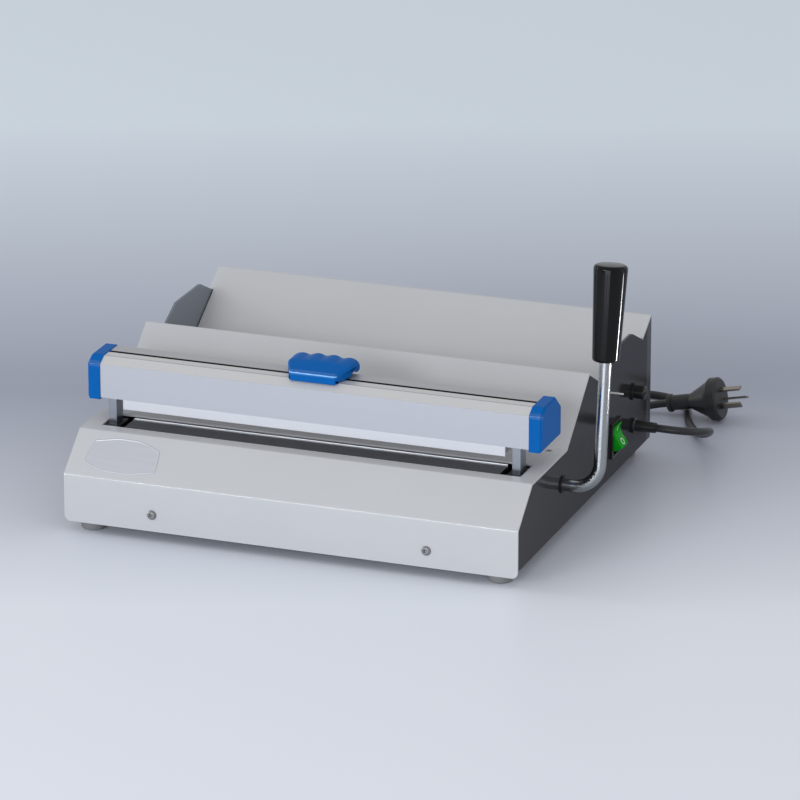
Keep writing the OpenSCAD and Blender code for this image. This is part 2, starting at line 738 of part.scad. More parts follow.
// One bush in each side plate, with its flange outside
module shaft_bushes() {
    inner_len = 4;
    color("black") placed() for (side = [-1, 1]) translate([0, shaft_y, shaft_z]) difference() {
        union() {
            rod_x(side > 0 ? side_x : -side_x - bush_flange_t, side > 0 ? side_x + bush_flange_t : -side_x,
                bush_flange_d / 2);
            rod_x(side > 0 ? half_w - inner_len : -side_x, side > 0 ? side_x : -half_w + inner_len,
                bush_r - bush_gap / 2);
        }
        rod_x(side > 0 ? half_w - inner_len - over : -side_x - bush_flange_t - over,
            side > 0 ? side_x + bush_flange_t + over : -half_w + inner_len + over, rod_d / 2 + bush_gap);
    }
}

// The switch's frame, a moulded box behind the plate with a hollow for the rocker
switch_body_w = 19.4;
switch_body_h = 26.4;
switch_body_len = 18;
rocker_w = 16.4;
rocker_h = 23.4;
rocker_pivot_in = 5;
rocker_axle_r = 1.5;
rocker_face = 3.4;

module switch_frame() {
    well = 11;
    color("black") placed() difference() {
        union() {
            span_box([side_x, switch_y - switch_w / 2, switch_z - switch_h / 2],
                [side_x + switch_proud, switch_y + switch_w / 2, switch_z + switch_h / 2]);
            span_box([side_x - switch_body_len, switch_y - switch_body_w / 2, switch_z - switch_body_h / 2],
                [side_x, switch_y + switch_body_w / 2, switch_z + switch_body_h / 2]);
        }
        span_box([side_x - well, switch_y - rocker_w / 2 - run_gap, switch_z - rocker_h / 2 - 3 * run_gap],
            [side_x + switch_proud + over, switch_y + rocker_w / 2 + run_gap, switch_z + rocker_h / 2 + 3 * run_gap]);
        translate([side_x - rocker_pivot_in, switch_y - switch_body_w / 2 + over / 2, switch_z]) rotate([-90, 0, 0])
            cylinder(h = switch_body_w - over, r = rocker_axle_r + fit_gap);
    }
}

// The rocker, pinned across its middle, with its lower end out at rest
module switch_rocker() {
    skirt = 4.5;
    axle_len = switch_body_w - 2 * over / 2 - 2 * run_gap;
    reach = switch_proud + rocker_pivot_in + rocker_face;
    color("green") placed() translate([side_x - rocker_pivot_in, switch_y, switch_z]) rotate([0, -rocker_tilt, 0])
        union() {
            translate([0, rocker_w / 2, 0]) rotate([90, 0, 0]) linear_extrude(height = rocker_w) polygon([
                [-skirt / 2, -rocker_h / 4], [reach, -rocker_h / 2 * cos(rocker_tilt)],
                [reach - rocker_face / 2, 0], [reach, rocker_h / 2 * cos(rocker_tilt)],
                [-skirt / 2, rocker_h / 4]]);
            translate([0, -axle_len / 2, 0]) rotate([-90, 0, 0]) cylinder(h = axle_len, r = rocker_axle_r);
        }
}

// The panel fuse holder, its nut inside, and its cap outside
fuse_body_r = 6;
fuse_flange_t = 2;
fuse_body_len = 30;

module fuse_holder() {
    nut_t = 4;
    color("black") placed() translate([0, inlet_y, fuse_z]) difference() {
        union() {
            rod_x(side_x, side_x + fuse_flange_t, fuse_flange_d / 2);
            rod_x(side_x - fuse_body_len, side_x, fuse_body_r);
            translate([half_w - nut_t, 0, 0]) rotate([0, 90, 0]) cylinder(h = nut_t, r = fuse_flange_d / 2 + over, $fn = 6);
        }
        rod_x(side_x - fuse_body_len / 2, side_x + fuse_flange_t + over, fuse_cap_d / 2 - over + fit_gap);
    }
}

module fuse_cap() {
    slot_w = 1.5;
    chamfer = 1;
    front = side_x + fuse_flange_t + fuse_cap_len;
    color("black") placed() translate([0, inlet_y, fuse_z]) difference() {
        union() {
            rod_x(side_x + fuse_flange_t, front - chamfer, fuse_cap_d / 2);
            translate([front - chamfer, 0, 0]) rotate([0, 90, 0])
                cylinder(h = chamfer, r1 = fuse_cap_d / 2, r2 = fuse_cap_d / 2 - chamfer);
            rod_x(side_x - fuse_body_len / 3, side_x + fuse_flange_t, fuse_cap_d / 2 - over);
        }
        span_box([front - slot_w, -fuse_cap_d, -slot_w / 2], [front + over, fuse_cap_d, slot_w / 2]);
    }
}

// The cable gland, a snap-in bush with a slim, tapering tail
gland_neck_r = 5.4;
gland_head_t = 3;

module cord_gland() {
    inner_len = 9;
    tip_r = cord_d / 2 + fit_gap + gland_wall;
    color("black") placed() translate([0, inlet_y, gland_z]) rotate([0, 90, 0]) translate([0, 0, side_x])
        rotate_extrude() polygon([
            [cord_d / 2 + fit_gap, -sheet_t - inner_len], [gland_neck_r, -sheet_t - inner_len],
            [gland_neck_r, 0], [gland_d / 2, 0], [gland_d / 2, gland_head_t - gland_edge],
            [gland_d / 2 - gland_edge, gland_head_t], [tip_r + gland_edge, gland_head_t],
            [tip_r, gland_len], [cord_d / 2 + fit_gap, gland_len]]);
}

gland_wall = 1;
gland_edge = 0.8;

// The transformer, its laminated core and its winding
trafo_x = -60;
trafo_y = 180;
trafo_w = 66;
trafo_d = 26;
trafo_h = 55;
trafo_limb = 11;
window_w = 11;

module transformer_core() {
    foot_out = 12;
    foot_t = 2;
    color("slategray") placed() difference() {
        union() {
            span_box([trafo_x - trafo_w / 2, trafo_y - trafo_d / 2, tray_floor_z],
                [trafo_x + trafo_w / 2, trafo_y + trafo_d / 2, tray_floor_z + trafo_h]);
            span_box([trafo_x - trafo_w / 2 - foot_out, trafo_y - trafo_d / 2, tray_floor_z],
                [trafo_x + trafo_w / 2 + foot_out, trafo_y + trafo_d / 2, tray_floor_z + foot_t]);
        }
        for (side = [-1, 1]) {
            span_box([trafo_x + side * (trafo_limb + window_w / 2) - window_w / 2, trafo_y - trafo_d,
                tray_floor_z + trafo_limb], [trafo_x + side * (trafo_limb + window_w / 2) + window_w / 2,
                trafo_y + trafo_d, tray_floor_z + trafo_h - trafo_limb]);
            translate([trafo_x + side * (trafo_w + foot_out) / 2, trafo_y, tray_floor_z - over])
                cylinder(h = foot_t + 2 * over, r = screw_d / 2);
        }
    }
}

module transformer_coil() {
    bulge = 9;
    color("goldenrod") placed() difference() {
        span_box([trafo_x - trafo_limb - window_w + fit_gap, trafo_y - trafo_d / 2 - bulge,
            tray_floor_z + trafo_limb + fit_gap], [trafo_x + trafo_limb + window_w - fit_gap,
            trafo_y + trafo_d / 2 + bulge, tray_floor_z + trafo_h - trafo_limb - fit_gap]);
        span_box([trafo_x - trafo_limb - fit_gap, trafo_y - trafo_d / 2 - fit_gap, tray_floor_z],
            [trafo_x + trafo_limb + fit_gap, trafo_y + trafo_d / 2 + fit_gap, tray_floor_z + trafo_h]);
    }
}

// The row of screw terminals between the inlet and the transformer
module terminal_block() {
    ways = 6;
    pitch = 9;
    depth = 18;
    height = 14;
    screw_r = 2.6;
    block_x = 90;
    color("ivory") placed() translate([block_x, inlet_y, tray_floor_z]) difference() {
        span_box([-ways * pitch / 2, -depth / 2, 0], [ways * pitch / 2, depth / 2, height]);
        for (i = [0 : ways - 1], y = [-1, 1]) translate([(i - (ways - 1) / 2) * pitch, y * depth / 4, height / 2])
            cylinder(h = height, r = screw_r);
        for (i = [1 : ways - 1]) translate([(i - ways / 2) * pitch, 0, height])
            cube([over, depth + 2 * over, height / 2], center = true);
    }
}

// The small switch on its stand that feels the right crank arm come down
module limit_switch() {
    stand = 3;
    body_w_small = 6.5;
    body_len = 20;
    body_top = pin_z - travel - arm_tip_r - plunger_h - over;
    stand_x = arm_x - arm_gap;
    place_y = post_y + body_len;
    color("darkred") placed() union() {
        span_box([stand_x, place_y - body_len / 2, body_top - body_len / 2],
            [stand_x + body_w_small, place_y + body_len / 2, body_top]);
        span_box([stand_x, place_y - body_len / 2, tray_floor_z], [stand_x + stand, place_y + body_len / 2, body_top]);
        span_box([stand_x - body_len / 2, place_y - body_len / 2, tray_floor_z],
            [stand_x, place_y + body_len / 2, tray_floor_z + sheet_t]);
        translate([stand_x + body_w_small / 2, place_y, body_top]) cylinder(h = plunger_h / 2, r = plunger_h / 2);
    }
}

plunger_h = 3;

// A wire of round section swept along points, with square ends
function ring(p, dir, flat, r, sides) =
    let (side = unit(cross(dir, flat)), up = unit(cross(side, dir)))
    [for (k = [0 : sides - 1]) p + r * (cos(360 * k / sides) * side + sin(360 * k / sides) * up)];

function headings(p) = [for (i = [0 : len(p) - 1])
    unit(p[min(i + 1, len(p) - 1)] - p[max(i - 1, 0)])];

module swept(p, dirs, flat, r, sides) {
    n = len(p);
    faces_side = [for (i = [0 : n - 2], k = [0 : sides - 1])
        let (a = i * sides + k, b = i * sides + (k + 1) % sides)
        each [[a, b, b + sides], [a, b + sides, a + sides]]];
    cap_start = [for (k = [1 : sides - 2]) [0, k + 1, k]];
    last = (n - 1) * sides;
    cap_end = [for (k = [1 : sides - 2]) [last, last + k, last + k + 1]];
    polyhedron(points = [for (i = [0 : n - 1]) each ring(p[i], dirs[i], flat, r, sides)],
        faces = concat(faces_side, cap_start, cap_end));
}

// A return spring between the tray and the foot of a post
spring_turns = 7;
spring_rings = 10;
spring_sides = 6;
function spring_points() = let (n = spring_turns * spring_rings, lift = post_foot_z - tray_floor_z - wire_d)
    [for (i = [0 : n]) let (a = 360 * i / spring_rings, s = i / n,
        rise = s < 1 / spring_turns ? s * spring_turns * end_share / 2
            : s > 1 - 1 / spring_turns ? 1 - (1 - s) * spring_turns * end_share / 2
            : end_share / 2 + (s - 1 / spring_turns) * (1 - end_share) / (1 - 2 / spring_turns))
        [spring_r * cos(a), spring_r * sin(a), wire_d / 2 + lift * rise]];
end_share = 0.09;

module return_spring(side) {
    color("silver") placed() translate([side * post_x, post_y, tray_floor_z])
        swept(spring_points(), headings(spring_points()), [0, 0, 1], wire_d / 2, spring_sides);
}

module left_return_spring() {
    return_spring(-1);
}

module right_return_spring() {
    return_spring(1);
}

// The lever, one steel rod that is the cross shaft, the elbow and the upright
rod_end_x = side_x;

module lever_rod() {
    spike = grip_len / 2;
    color("silver") placed() translate([0, shaft_y, shaft_z]) rotate([-lever_lean, 0, 0]) union() {
        rod_x(-rod_end_x, lever_x - elbow_r, rod_d / 2);
        translate([lever_x - elbow_r, 0, elbow_r]) rotate([90, 0, 0]) rotate([0, 0, -90])
            rotate_extrude(angle = 90) translate([elbow_r, 0]) circle(r = rod_d / 2);
        translate([lever_x, 0, elbow_r]) cylinder(h = lever_len - elbow_r + spike, r = rod_d / 2);
    }
}

// The tapered grip, screwed over the rod's end
module lever_grip() {
    hole_r = rod_d / 2 + fit_gap;
    color("black") placed() translate([lever_x, shaft_y, shaft_z]) rotate([-lever_lean, 0, 0])
        translate([0, 0, lever_len]) rotate_extrude() polygon(concat(
            [[hole_r, 0], [grip_d / 2 - grip_edge_r, 0]],
            corner([0, 0], [grip_d / 2, 0], [grip_top_d / 2, grip_len], grip_edge_r),
            corner([grip_d / 2, 0], [grip_top_d / 2, grip_len], [0, grip_len], grip_top_r),
            [[0, grip_len], [0, grip_len / 2 + fit_gap], [hole_r, grip_len / 2 + fit_gap]]));
}

// A crank arm with a slotted tip that carries the pin of its post
module crank_arm(side) {
    slot_half = pin_d / 2 + run_gap;
    stretch = arm_reach / cos(arm_angle);
    mid = (arm_reach + stretch) / 2;
    play = (stretch - arm_reach) / 2 + run_gap;
    hub_in = side > 0 ? arm_x + arm_t - hub_len : -arm_x - arm_t;
    translate([0, shaft_y, shaft_z]) rotate([-arm_angle, 0, 0]) difference() {
        union() {
            along_x(side > 0 ? arm_x : -arm_x - arm_t, side > 0 ? arm_x + arm_t : -arm_x) union() {
                translate([-mid, -arm_tip_r]) square([mid, 2 * arm_tip_r]);
                translate([-mid, 0]) circle(r = arm_tip_r);
            }
            rod_x(hub_in, hub_in + hub_len, hub_d / 2);
        }
        along_x(-half_w, half_w) union() {
            translate([-mid - play, -slot_half]) square([2 * play, 2 * slot_half]);
            for (end = [-1, 1]) translate([-mid + end * play, 0]) circle(r = slot_half);
        }
        rod_x(-half_w, half_w, rod_d / 2 + fit_gap);
        translate([hub_in + (side > 0 ? hub_len / 4 : hub_len * 3 / 4), 0, 0])
            cylinder(h = hub_d, r = screw_d / 2);
    }
}

module left_crank_arm() {
    color("darkgray") placed() crank_arm(-1);
}

module right_crank_arm() {
    color("darkgray") placed() crank_arm(1);
}

// Rings that keep the shaft from sliding through its bushes
module shaft_collars() {
    collar_w = 8;
    inner_len = 4;
    color("silver") placed() for (side = [-1, 1]) translate([0, shaft_y, shaft_z]) difference() {
        rod_x(side > 0 ? half_w - inner_len - run_gap - collar_w : -half_w + inner_len + run_gap,
            side > 0 ? half_w - inner_len - run_gap : -half_w + inner_len + run_gap + collar_w, hub_d / 2 - over);
        rod_x(-half_w, half_w, rod_d / 2 + fit_gap);
    }
}

// The press bar's section, with the cutter's slot and the slider's channel
bar_outline = [[bar_y, bar_z], [bar_y, bar_top_z - front_chamfer_h], [bar_y + front_chamfer_d, bar_top_z],
    [bar_y + bar_d - back_chamfer_d, bar_top_z], [bar_y + bar_d, bar_top_z - back_chamfer_h],
    [bar_y + bar_d, bar_z]];
cut_y = bar_y + cut_slot_in;
channel_top_z = bar_top_z - bar_wall;
channel_floor_z = channel_top_z - channel_h;
blade_slot_half = min(post_x - post_w / 2 - over, cutter_travel + blade_w / 2 + abs(cutter_rest_x) + over);

function closed_shift(p, t) = [for (i = [0 : len(p) - 1])
    let (a = p[(i + len(p) - 1) % len(p)], b = p[i], c = p[(i + 1) % len(p)])
    let (m = right_of(a, b), n = right_of(b, c)) b + t * (m + n) / (1 + m * n)];

module bar_section() {
    difference() {
        polygon(bar_outline);
        difference() {
            polygon(closed_shift(bar_outline, bar_wall));
            translate([cut_y - channel_w / 2 - bar_wall, channel_floor_z - bar_wall])
                square([channel_w + 2 * bar_wall, channel_h + 2 * bar_wall]);
        }
        translate([cut_y - channel_w / 2, channel_floor_z]) square([channel_w, channel_h]);
        translate([cut_y - cut_slot_w / 2, channel_floor_z - bar_wall - over])
            square([cut_slot_w, channel_h + 2 * bar_wall + 2 * over]);
    }
}

module press_bar() {
    color("lightgray") placed() difference() {
        along_x(-bar_half, bar_half) bar_section();
        span_box([-blade_slot_half, cut_y - cut_slot_w, bar_z - over],
            [blade_slot_half, cut_y + cut_slot_w, bar_z + bar_wall + over]);
        for (side = [-1, 1]) translate([side * post_x, post_y, bar_z - over])
            cylinder(h = bar_wall + 2 * over, r = screw_d / 2 + fit_gap);
    }
}

// A moulded end cap, its face bevelled all round, with a plug that fits the bar
module end_cap(side) {
    face = closed_shift([for (p = bar_outline) p[1] > bar_z ? p : [p[0], bar_z - cap_drop + cap_proud]], -cap_proud);
    bevel = 1.2;
    plug_in = 6;
    from_x = side > 0 ? bar_half : -bar_half;
    difference() {
        union() {
            for (k = [0 : 1]) {
                inset = k * bevel;
                top = cap_t - (1 - k) * bevel;
                along_x(side > 0 ? from_x : from_x - top, side > 0 ? from_x + top : from_x)
                    polygon(closed_shift(face, inset));
            }
            along_x(side > 0 ? from_x - plug_in : from_x, side > 0 ? from_x : from_x + plug_in) difference() {
                polygon(closed_shift(bar_outline, bar_wall + fit_gap));
                translate([cut_y - channel_w / 2 - bar_wall - fit_gap, channel_floor_z - bar_wall - fit_gap])
                    square([channel_w + 2 * bar_wall + 2 * fit_gap, bar_h]);
                polygon(closed_shift(bar_outline, bar_wall * 2 + fit_gap));
            }
        }
    }
}

module left_end_cap() {
    color("royalblue") placed() end_cap(-1);
}

module right_end_cap() {
    color("royalblue") placed() end_cap(1);
}

// The upper jaw, a grooved rail under the bar, and the pressing strip in its groove
strip_seat_h = 3.4;

module jaw_holder() {
    color("whitesmoke") placed() along_x(-upper_jaw_len / 2, upper_jaw_len / 2) difference() {
        translate([bar_y, jaw_holder_z]) square([upper_jaw_d, upper_jaw_h]);
        translate([jaw_mid_y - strip_w / 2, jaw_holder_z - over]) square([strip_w, strip_seat_h + over]);
    }
}

module silicone_strip() {
    color("indianred") placed() along_x(-lower_jaw_len / 2, lower_jaw_len / 2)
        translate([jaw_mid_y - strip_w / 2 + fit_gap, strip_z])
            square([strip_w - 2 * fit_gap, strip_seat_h + strip_drop]);
}

// A post, a flat bar with a spigot that centres its spring
module post(side) {
    spigot_h = 5;
    post_screw_len = 14;
    translate([side * post_x, post_y, 0]) difference() {
        union() {
            span_box([-post_w / 2, -post_d / 2, post_foot_z], [post_w / 2, post_d / 2, bar_z]);
            translate([0, 0, post_foot_z - spigot_h]) cylinder(h = spigot_h + over, r = post_w / 2 - over / 2);
        }
        translate([0, 0, bar_z - post_screw_len]) cylinder(h = post_screw_len + over, r = screw_d / 2 + fit_gap);
        translate([0, 0, pin_z]) rotate([0, 90, 0])
            cylinder(h = 2 * post_w, r = pin_d / 2 + fit_gap, center = true);
    }
}

module left_post() {
    color("silver") placed() post(-1);
}

module right_post() {
    color("silver") placed() post(1);
}

module crank_pins() {
    color("silver") placed() for (side = [-1, 1]) translate([0, post_y, pin_z])
        rod_x(side > 0 ? arm_x - arm_gap / 2 : -post_x - post_w / 2, side > 0 ? post_x + post_w / 2 : -arm_x + arm_gap / 2,
            pin_d / 2);
}

module post_screws() {
    shank_len = 12;
    color("silver") placed() for (side = [-1, 1]) translate([side * post_x, post_y, bar_z]) difference() {
        union() {
            translate([0, 0, bar_wall - shank_len]) cylinder(h = shank_len, r = screw_d / 2);
            translate([0, 0, bar_wall]) cylinder(h = screw_d, r = screw_head_d / 2 - over / 2);
        }
        translate([0, 0, bar_wall + screw_d / 2]) cylinder(h = screw_d, r = socket_w / sqrt(3), $fn = 6);
    }
}

// The cutter's handle, a fan of four finger humps that overhangs the bar's back
handle_y = bar_y + front_chamfer_d - handle_lead;
handle_back_y = handle_y + handle_d;
handle_edge_r = 3;
humps = 4;

module handle_profile() {
    foot_y = cut_y + handle_edge_r;
    arch = 3.2;
    base_z = bar_top_z + run_gap;
    nose_z = bar_top_z - handle_lead * front_chamfer_h / front_chamfer_d + 2 * run_gap;
    top_z = bar_top_z + handle_h;
    lip_z = top_z - handle_lip_t;
    polygon(concat(
        [[handle_y, nose_z]],
        corner([handle_y, nose_z], [handle_y, nose_z + handle_front_h], [handle_back_y, top_z], handle_edge_r / 2),
        corner([handle_y, nose_z + handle_front_h], [handle_back_y, top_z], [handle_back_y, lip_z],
            handle_lip_t * 0.45),
        corner([handle_back_y, top_z], [handle_back_y, lip_z], [foot_y, lip_z], handle_lip_t * 0.3),
        [[handle_back_y - handle_lip_t * 0.7, lip_z + arch / 4], [handle_back_y - handle_lip_t, lip_z + arch / 2],
            [foot_y + handle_lip_t * 0.6, base_z + arch], [foot_y + arch * 0.8, base_z + arch / 2],
            [foot_y, base_z], [handle_y + handle_lead + run_gap, base_z]]));
}

module handle_plan() {
    wide_y = handle_y + handle_d * 0.6;
    front = [handle_w / 2, handle_y];
    side = [handle_back_w / 2, wide_y];
    back = [handle_back_w / 2, handle_back_y];
    half = concat(corner([0, handle_y], front, side, handle_edge_r),
        corner(front, side, back, handle_w / 2), corner(side, back, [0, handle_back_y], 2 * handle_edge_r));
    polygon(concat(half, [for (q = backwards(half)) [-q[0], q[1]]]));
}

module cutter_handle() {
    pitch = handle_back_w / humps;
    hump_r = (pitch * pitch / 4 + hump_h * hump_h) / (2 * hump_h);
    low = bar_top_z - handle_lip_t;
    color("royalblue") placed() translate([cutter_rest_x, 0, 0]) difference() {
        intersection() {
            along_x(-handle_back_w, handle_back_w) handle_profile();
            translate([0, 0, low]) linear_extrude(height = handle_h + 2 * handle_lip_t) handle_plan();
            translate([0, handle_back_y + over, 0]) rotate([90, 0, 0])
                linear_extrude(height = handle_d + 2 * over) union() {
                    translate([-handle_back_w / 2 - over, low])
                        square([handle_back_w + 2 * over, handle_h - hump_h + handle_lip_t]);
                    for (i = [0 : humps - 1]) intersection() {
                        translate([(i - (humps - 1) / 2) * pitch, bar_top_z + handle_h - hump_r])
                            circle(r = hump_r, $fn = 96);
                        translate([(i - humps / 2) * pitch, low])
                            square([pitch, handle_h + 2 * handle_lip_t]);
                    }
                }
        }
        span_box([-blade_w / 2 - fit_gap, cut_y - blade_t / 2 - fit_gap, low],
            [blade_w / 2 + fit_gap, cut_y + blade_t / 2 + fit_gap, bar_top_z + blade_grip + fit_gap]);
    }
}

blade_grip = 4;

// The shoe that runs in the bar's channel and clamps the blade
module cutter_shoe() {
    ease = 1.5;
    color("whitesmoke") placed() translate([cutter_rest_x, 0, 0]) difference() {
        translate([0, cut_y, channel_floor_z + run_gap]) linear_extrude(height = channel_h - 2 * run_gap)
            polygon([[-shoe_len / 2, -channel_w / 2 + run_gap + ease],
                [-shoe_len / 2 + ease, -channel_w / 2 + run_gap], [shoe_len / 2 - ease, -channel_w / 2 + run_gap],
                [shoe_len / 2, -channel_w / 2 + run_gap + ease], [shoe_len / 2, channel_w / 2 - run_gap - ease],
                [shoe_len / 2 - ease, channel_w / 2 - run_gap], [-shoe_len / 2 + ease, channel_w / 2 - run_gap],
                [-shoe_len / 2, channel_w / 2 - run_gap - ease]]);
        span_box([-blade_w / 2 - fit_gap, cut_y - blade_t / 2 - fit_gap, channel_floor_z - over],
            [blade_w / 2 + fit_gap, cut_y + blade_t / 2 + fit_gap, channel_top_z + over]);
    }
}

// The blade, with two slanted edges that meet in a point below the jaw
module cutter_blade() {
    tip_z = jaw_holder_z - blade_reach - strip_drop;
    shoulder_z = tip_z + blade_w / 2;
    color("silver") placed() translate([cutter_rest_x, cut_y + blade_t / 2, 0]) rotate([90, 0, 0])
        linear_extrude(height = blade_t) polygon([[-blade_w / 2, shoulder_z], [0, tip_z], [blade_w / 2, shoulder_z],
            [blade_w / 2, bar_top_z + blade_grip], [-blade_w / 2, bar_top_z + blade_grip]]);
}

// The cord's two free stretches, as points chosen by hand on the machine's own axes
cord_z = 3.4;
lead_points = [[210, 285.5, 39.5], [217.5, 285.5, 39.4], [226, 287, 38.8], [233.5, 291, 37.6],
    [239.5, 297, 36], [243.3, 304.5, 34], [244.8, 313, 31.5], [244.2, 322, 28.5], [241.8, 331.5, 24.8],
    [238, 341, 20.4], [233.3, 350.5, 15.8], [228, 360, 11.4], [222.5, 369.5, 7.8], [216.5, 379, 5.2],
    [210.5, 388.5, 3.8], [204.8, 398, 3.4], [199.8, 408, 3.4], [196, 418, 3.4], [193, 428, 3.4],
    [189.3, 438, 3.4], [184, 447, 3.4], [176.5, 454.5, 3.4], [167, 459.5, 3.4], [156, 462, 3.4],
    [144, 462, 3.4], [131, 460, 3.4], [117, 456.5, 3.4], [103, 453, 3.4], [88.5, 450.2, 3.4],
    [76, 449, 3.4], [66.4, 449, 3.4]];
tail_points = [[66.4, 361, 10.3], [74, 361, 10.2], [84, 362.5, 9.2], [94, 366.5, 7.2], [103, 372.5, 5],
    [110.8, 380, 3.7], [118, 388.5, 3.4], [125, 397.2, 3.4], [132.5, 405.5, 3.4], [140.5, 413, 3.7],
    [149, 419.8, 4.7], [158, 425.3, 6.2], [164, 427.4, 7.4], [169.8, 428, 8.7], [176, 428, 10]];
module cord_lead() {
    color("black") placed() swept(lead_points, headings(lead_points), [0, 0, 1], cord_d / 2, 8);
}

module cord_tail() {
    color("black") placed() swept(tail_points, headings(tail_points), [0, 0, 1], cord_d / 2, 8);
}

// The coil, in by two turns on the floor, up in half a turn, and out by two turns
coil_centre = [60, 405];
coil_r = 44;
coil_pitch = 6.9;
coil_in_turns = 2;
climb_turns = 0.5;
coil_rings = 24;
coil_sides = 6;
coil_turns = 2 * coil_in_turns + climb_turns;
coil_mid = coil_in_turns + climb_turns / 2;
function coil_at(s) = let (r = coil_r - coil_pitch * (min(s, coil_mid) - max(0, s - coil_mid)),
        up = min(1, max(0, (s - coil_in_turns) / climb_turns)))
    [coil_centre[0] + r * cos(90 + 360 * s), coil_centre[1] + r * sin(90 + 360 * s), cord_z + coil_pitch * up];
coil_points = concat([[coil_centre[0] + cord_d, coil_centre[1] + coil_r, cord_z]],
    [for (i = [0 : coil_turns * coil_rings]) coil_at(i / coil_rings)],
    [[coil_centre[0] + cord_d, coil_centre[1] - coil_r, cord_z + coil_pitch]]);

module cord_coil() {
    color("black") placed() swept(coil_points, headings(coil_points), [0, 0, 1], cord_d / 2, coil_sides);
}

// Least distance between the coil's turns, measured on points at least half a turn apart
function coil_gap() = min([for (i = [0 : len(coil_points) - 1], j = [i + coil_rings / 2 : 1 : len(coil_points) - 1])
    norm(coil_points[i] - coil_points[j])]) - cord_d;
echo(coil_gap = coil_gap());

// The moulded plug, which lies on the rim of its disc and on the cord under its neck
plug_face_x = 222;
plug_y = 428;
plug_disc_t = 10;
plug_z = plug_d / 2 * cos(plug_tilt) + plug_disc_t * sin(plug_tilt) + closed_gap;

module plug_placed() {
    placed() translate([plug_face_x, plug_y, plug_z]) rotate([0, -plug_tilt, 0]) children();
}

module plug_body() {
    neck_r = 6.4;
    ring_r = 7.6;
    ring_t = 4;
    cone_len = 17;
    edge = 1.5;
    color("black") plug_placed() rotate([0, -90, 0]) rotate_extrude() polygon([
        [0, 0], [plug_d / 2 - edge, 0], [plug_d / 2, edge], [plug_d / 2, plug_disc_t - edge],
        [plug_d / 2 - edge, plug_disc_t], [plug_d / 2 - 2 * edge, plug_disc_t + edge],
        [neck_r, plug_disc_t + cone_len], [neck_r, plug_len - ring_t], [ring_r, plug_len - ring_t + edge / 2],
        [ring_r, plug_len - edge / 2], [ring_r - edge / 2, plug_len], [0, plug_len]]);
}

// Two slanted flat pins and a longer earth pin, evenly spaced on one circle
module plug_pins() {
    pin_w = 6.3;
    pin_t = 1.6;
    live_len = 18.5;
    earth_len = 20;
    circle_r = 7.9;
    roll = 22;
    color("silver") plug_placed() rotate([-roll, 0, 0]) union() {
        for (side = [-1, 1]) rotate([side * 120, 0, 0]) translate([0, circle_r - pin_t / 2, -pin_w / 2])
            cube([live_len, pin_t, pin_w]);
        translate([0, circle_r - pin_w / 2, -pin_t / 2]) cube([earth_len, pin_w, pin_t]);
    }
}

front_cover();
rear_cover();
left_side_plate();
right_side_plate();
base_tray();
feet();
cover_screws();
jaw_brackets();
lower_jaw();
insulation_strip();
heating_element();
nonstick_tape();
clamp_strips();
post_guides();
shaft_bushes();
switch_frame();
fuse_holder();
fuse_cap();
cord_gland();
transformer_core();
transformer_coil();
terminal_block();
limit_switch();
left_return_spring();
right_return_spring();
lever_rod();
lever_grip();
left_crank_arm();
right_crank_arm();
shaft_collars();
press_bar();
left_end_cap();
right_end_cap();
jaw_holder();
silicone_strip();
left_post();
right_post();
crank_pins();
post_screws();
cutter_handle();
cutter_shoe();
cutter_blade();
switch_rocker();
cord_lead();
cord_coil();
cord_tail();
plug_body();
plug_pins();
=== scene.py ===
"""Looks for a manual sealing machine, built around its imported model."""

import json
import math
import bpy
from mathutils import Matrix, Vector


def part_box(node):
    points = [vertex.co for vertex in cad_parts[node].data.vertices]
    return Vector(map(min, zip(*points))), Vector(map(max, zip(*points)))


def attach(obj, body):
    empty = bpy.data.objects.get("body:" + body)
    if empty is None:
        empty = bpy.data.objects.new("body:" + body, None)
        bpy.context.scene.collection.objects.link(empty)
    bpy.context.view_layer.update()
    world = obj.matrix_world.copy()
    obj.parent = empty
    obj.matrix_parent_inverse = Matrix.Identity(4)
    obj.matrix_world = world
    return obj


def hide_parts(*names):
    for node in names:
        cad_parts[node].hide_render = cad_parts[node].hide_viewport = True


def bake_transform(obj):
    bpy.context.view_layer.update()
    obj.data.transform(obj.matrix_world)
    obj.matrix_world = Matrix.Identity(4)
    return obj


bl_info = {
    "name": "Manual sealing machine",
    "version": (1, 0, 0),
    "blender": (4, 5, 0),
    "location": "View3D > Sidebar > Sealer",
    "description": "Dresses the packed sealing machine with its finishes, trim and mains cord",
    "category": "Object",
}

import bmesh
import bpy
from mathutils import Matrix, Vector

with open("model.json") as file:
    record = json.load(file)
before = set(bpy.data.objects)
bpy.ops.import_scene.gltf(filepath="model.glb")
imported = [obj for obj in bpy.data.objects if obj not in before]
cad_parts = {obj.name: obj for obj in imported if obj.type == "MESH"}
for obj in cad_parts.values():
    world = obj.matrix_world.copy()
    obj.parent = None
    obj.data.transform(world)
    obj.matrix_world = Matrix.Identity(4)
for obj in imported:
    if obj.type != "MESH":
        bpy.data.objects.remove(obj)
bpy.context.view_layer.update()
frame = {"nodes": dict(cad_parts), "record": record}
NODES = frame["nodes"]
BODY_OF = {node: body for body, nodes in frame["record"]["behaviour"]["bodies"].items() for node in nodes}

MM = 0.001
COVER_LOW, COVER_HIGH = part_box("front_cover")
MID_X = (COVER_LOW[0] + COVER_HIGH[0]) / 2
FRONT_Y = COVER_LOW[1]


def at(x, y, z):
    """A place in metres, from millimetres off the front panel's middle at table height."""
    return Vector((MID_X + x * MM, FRONT_Y + y * MM, z * MM))


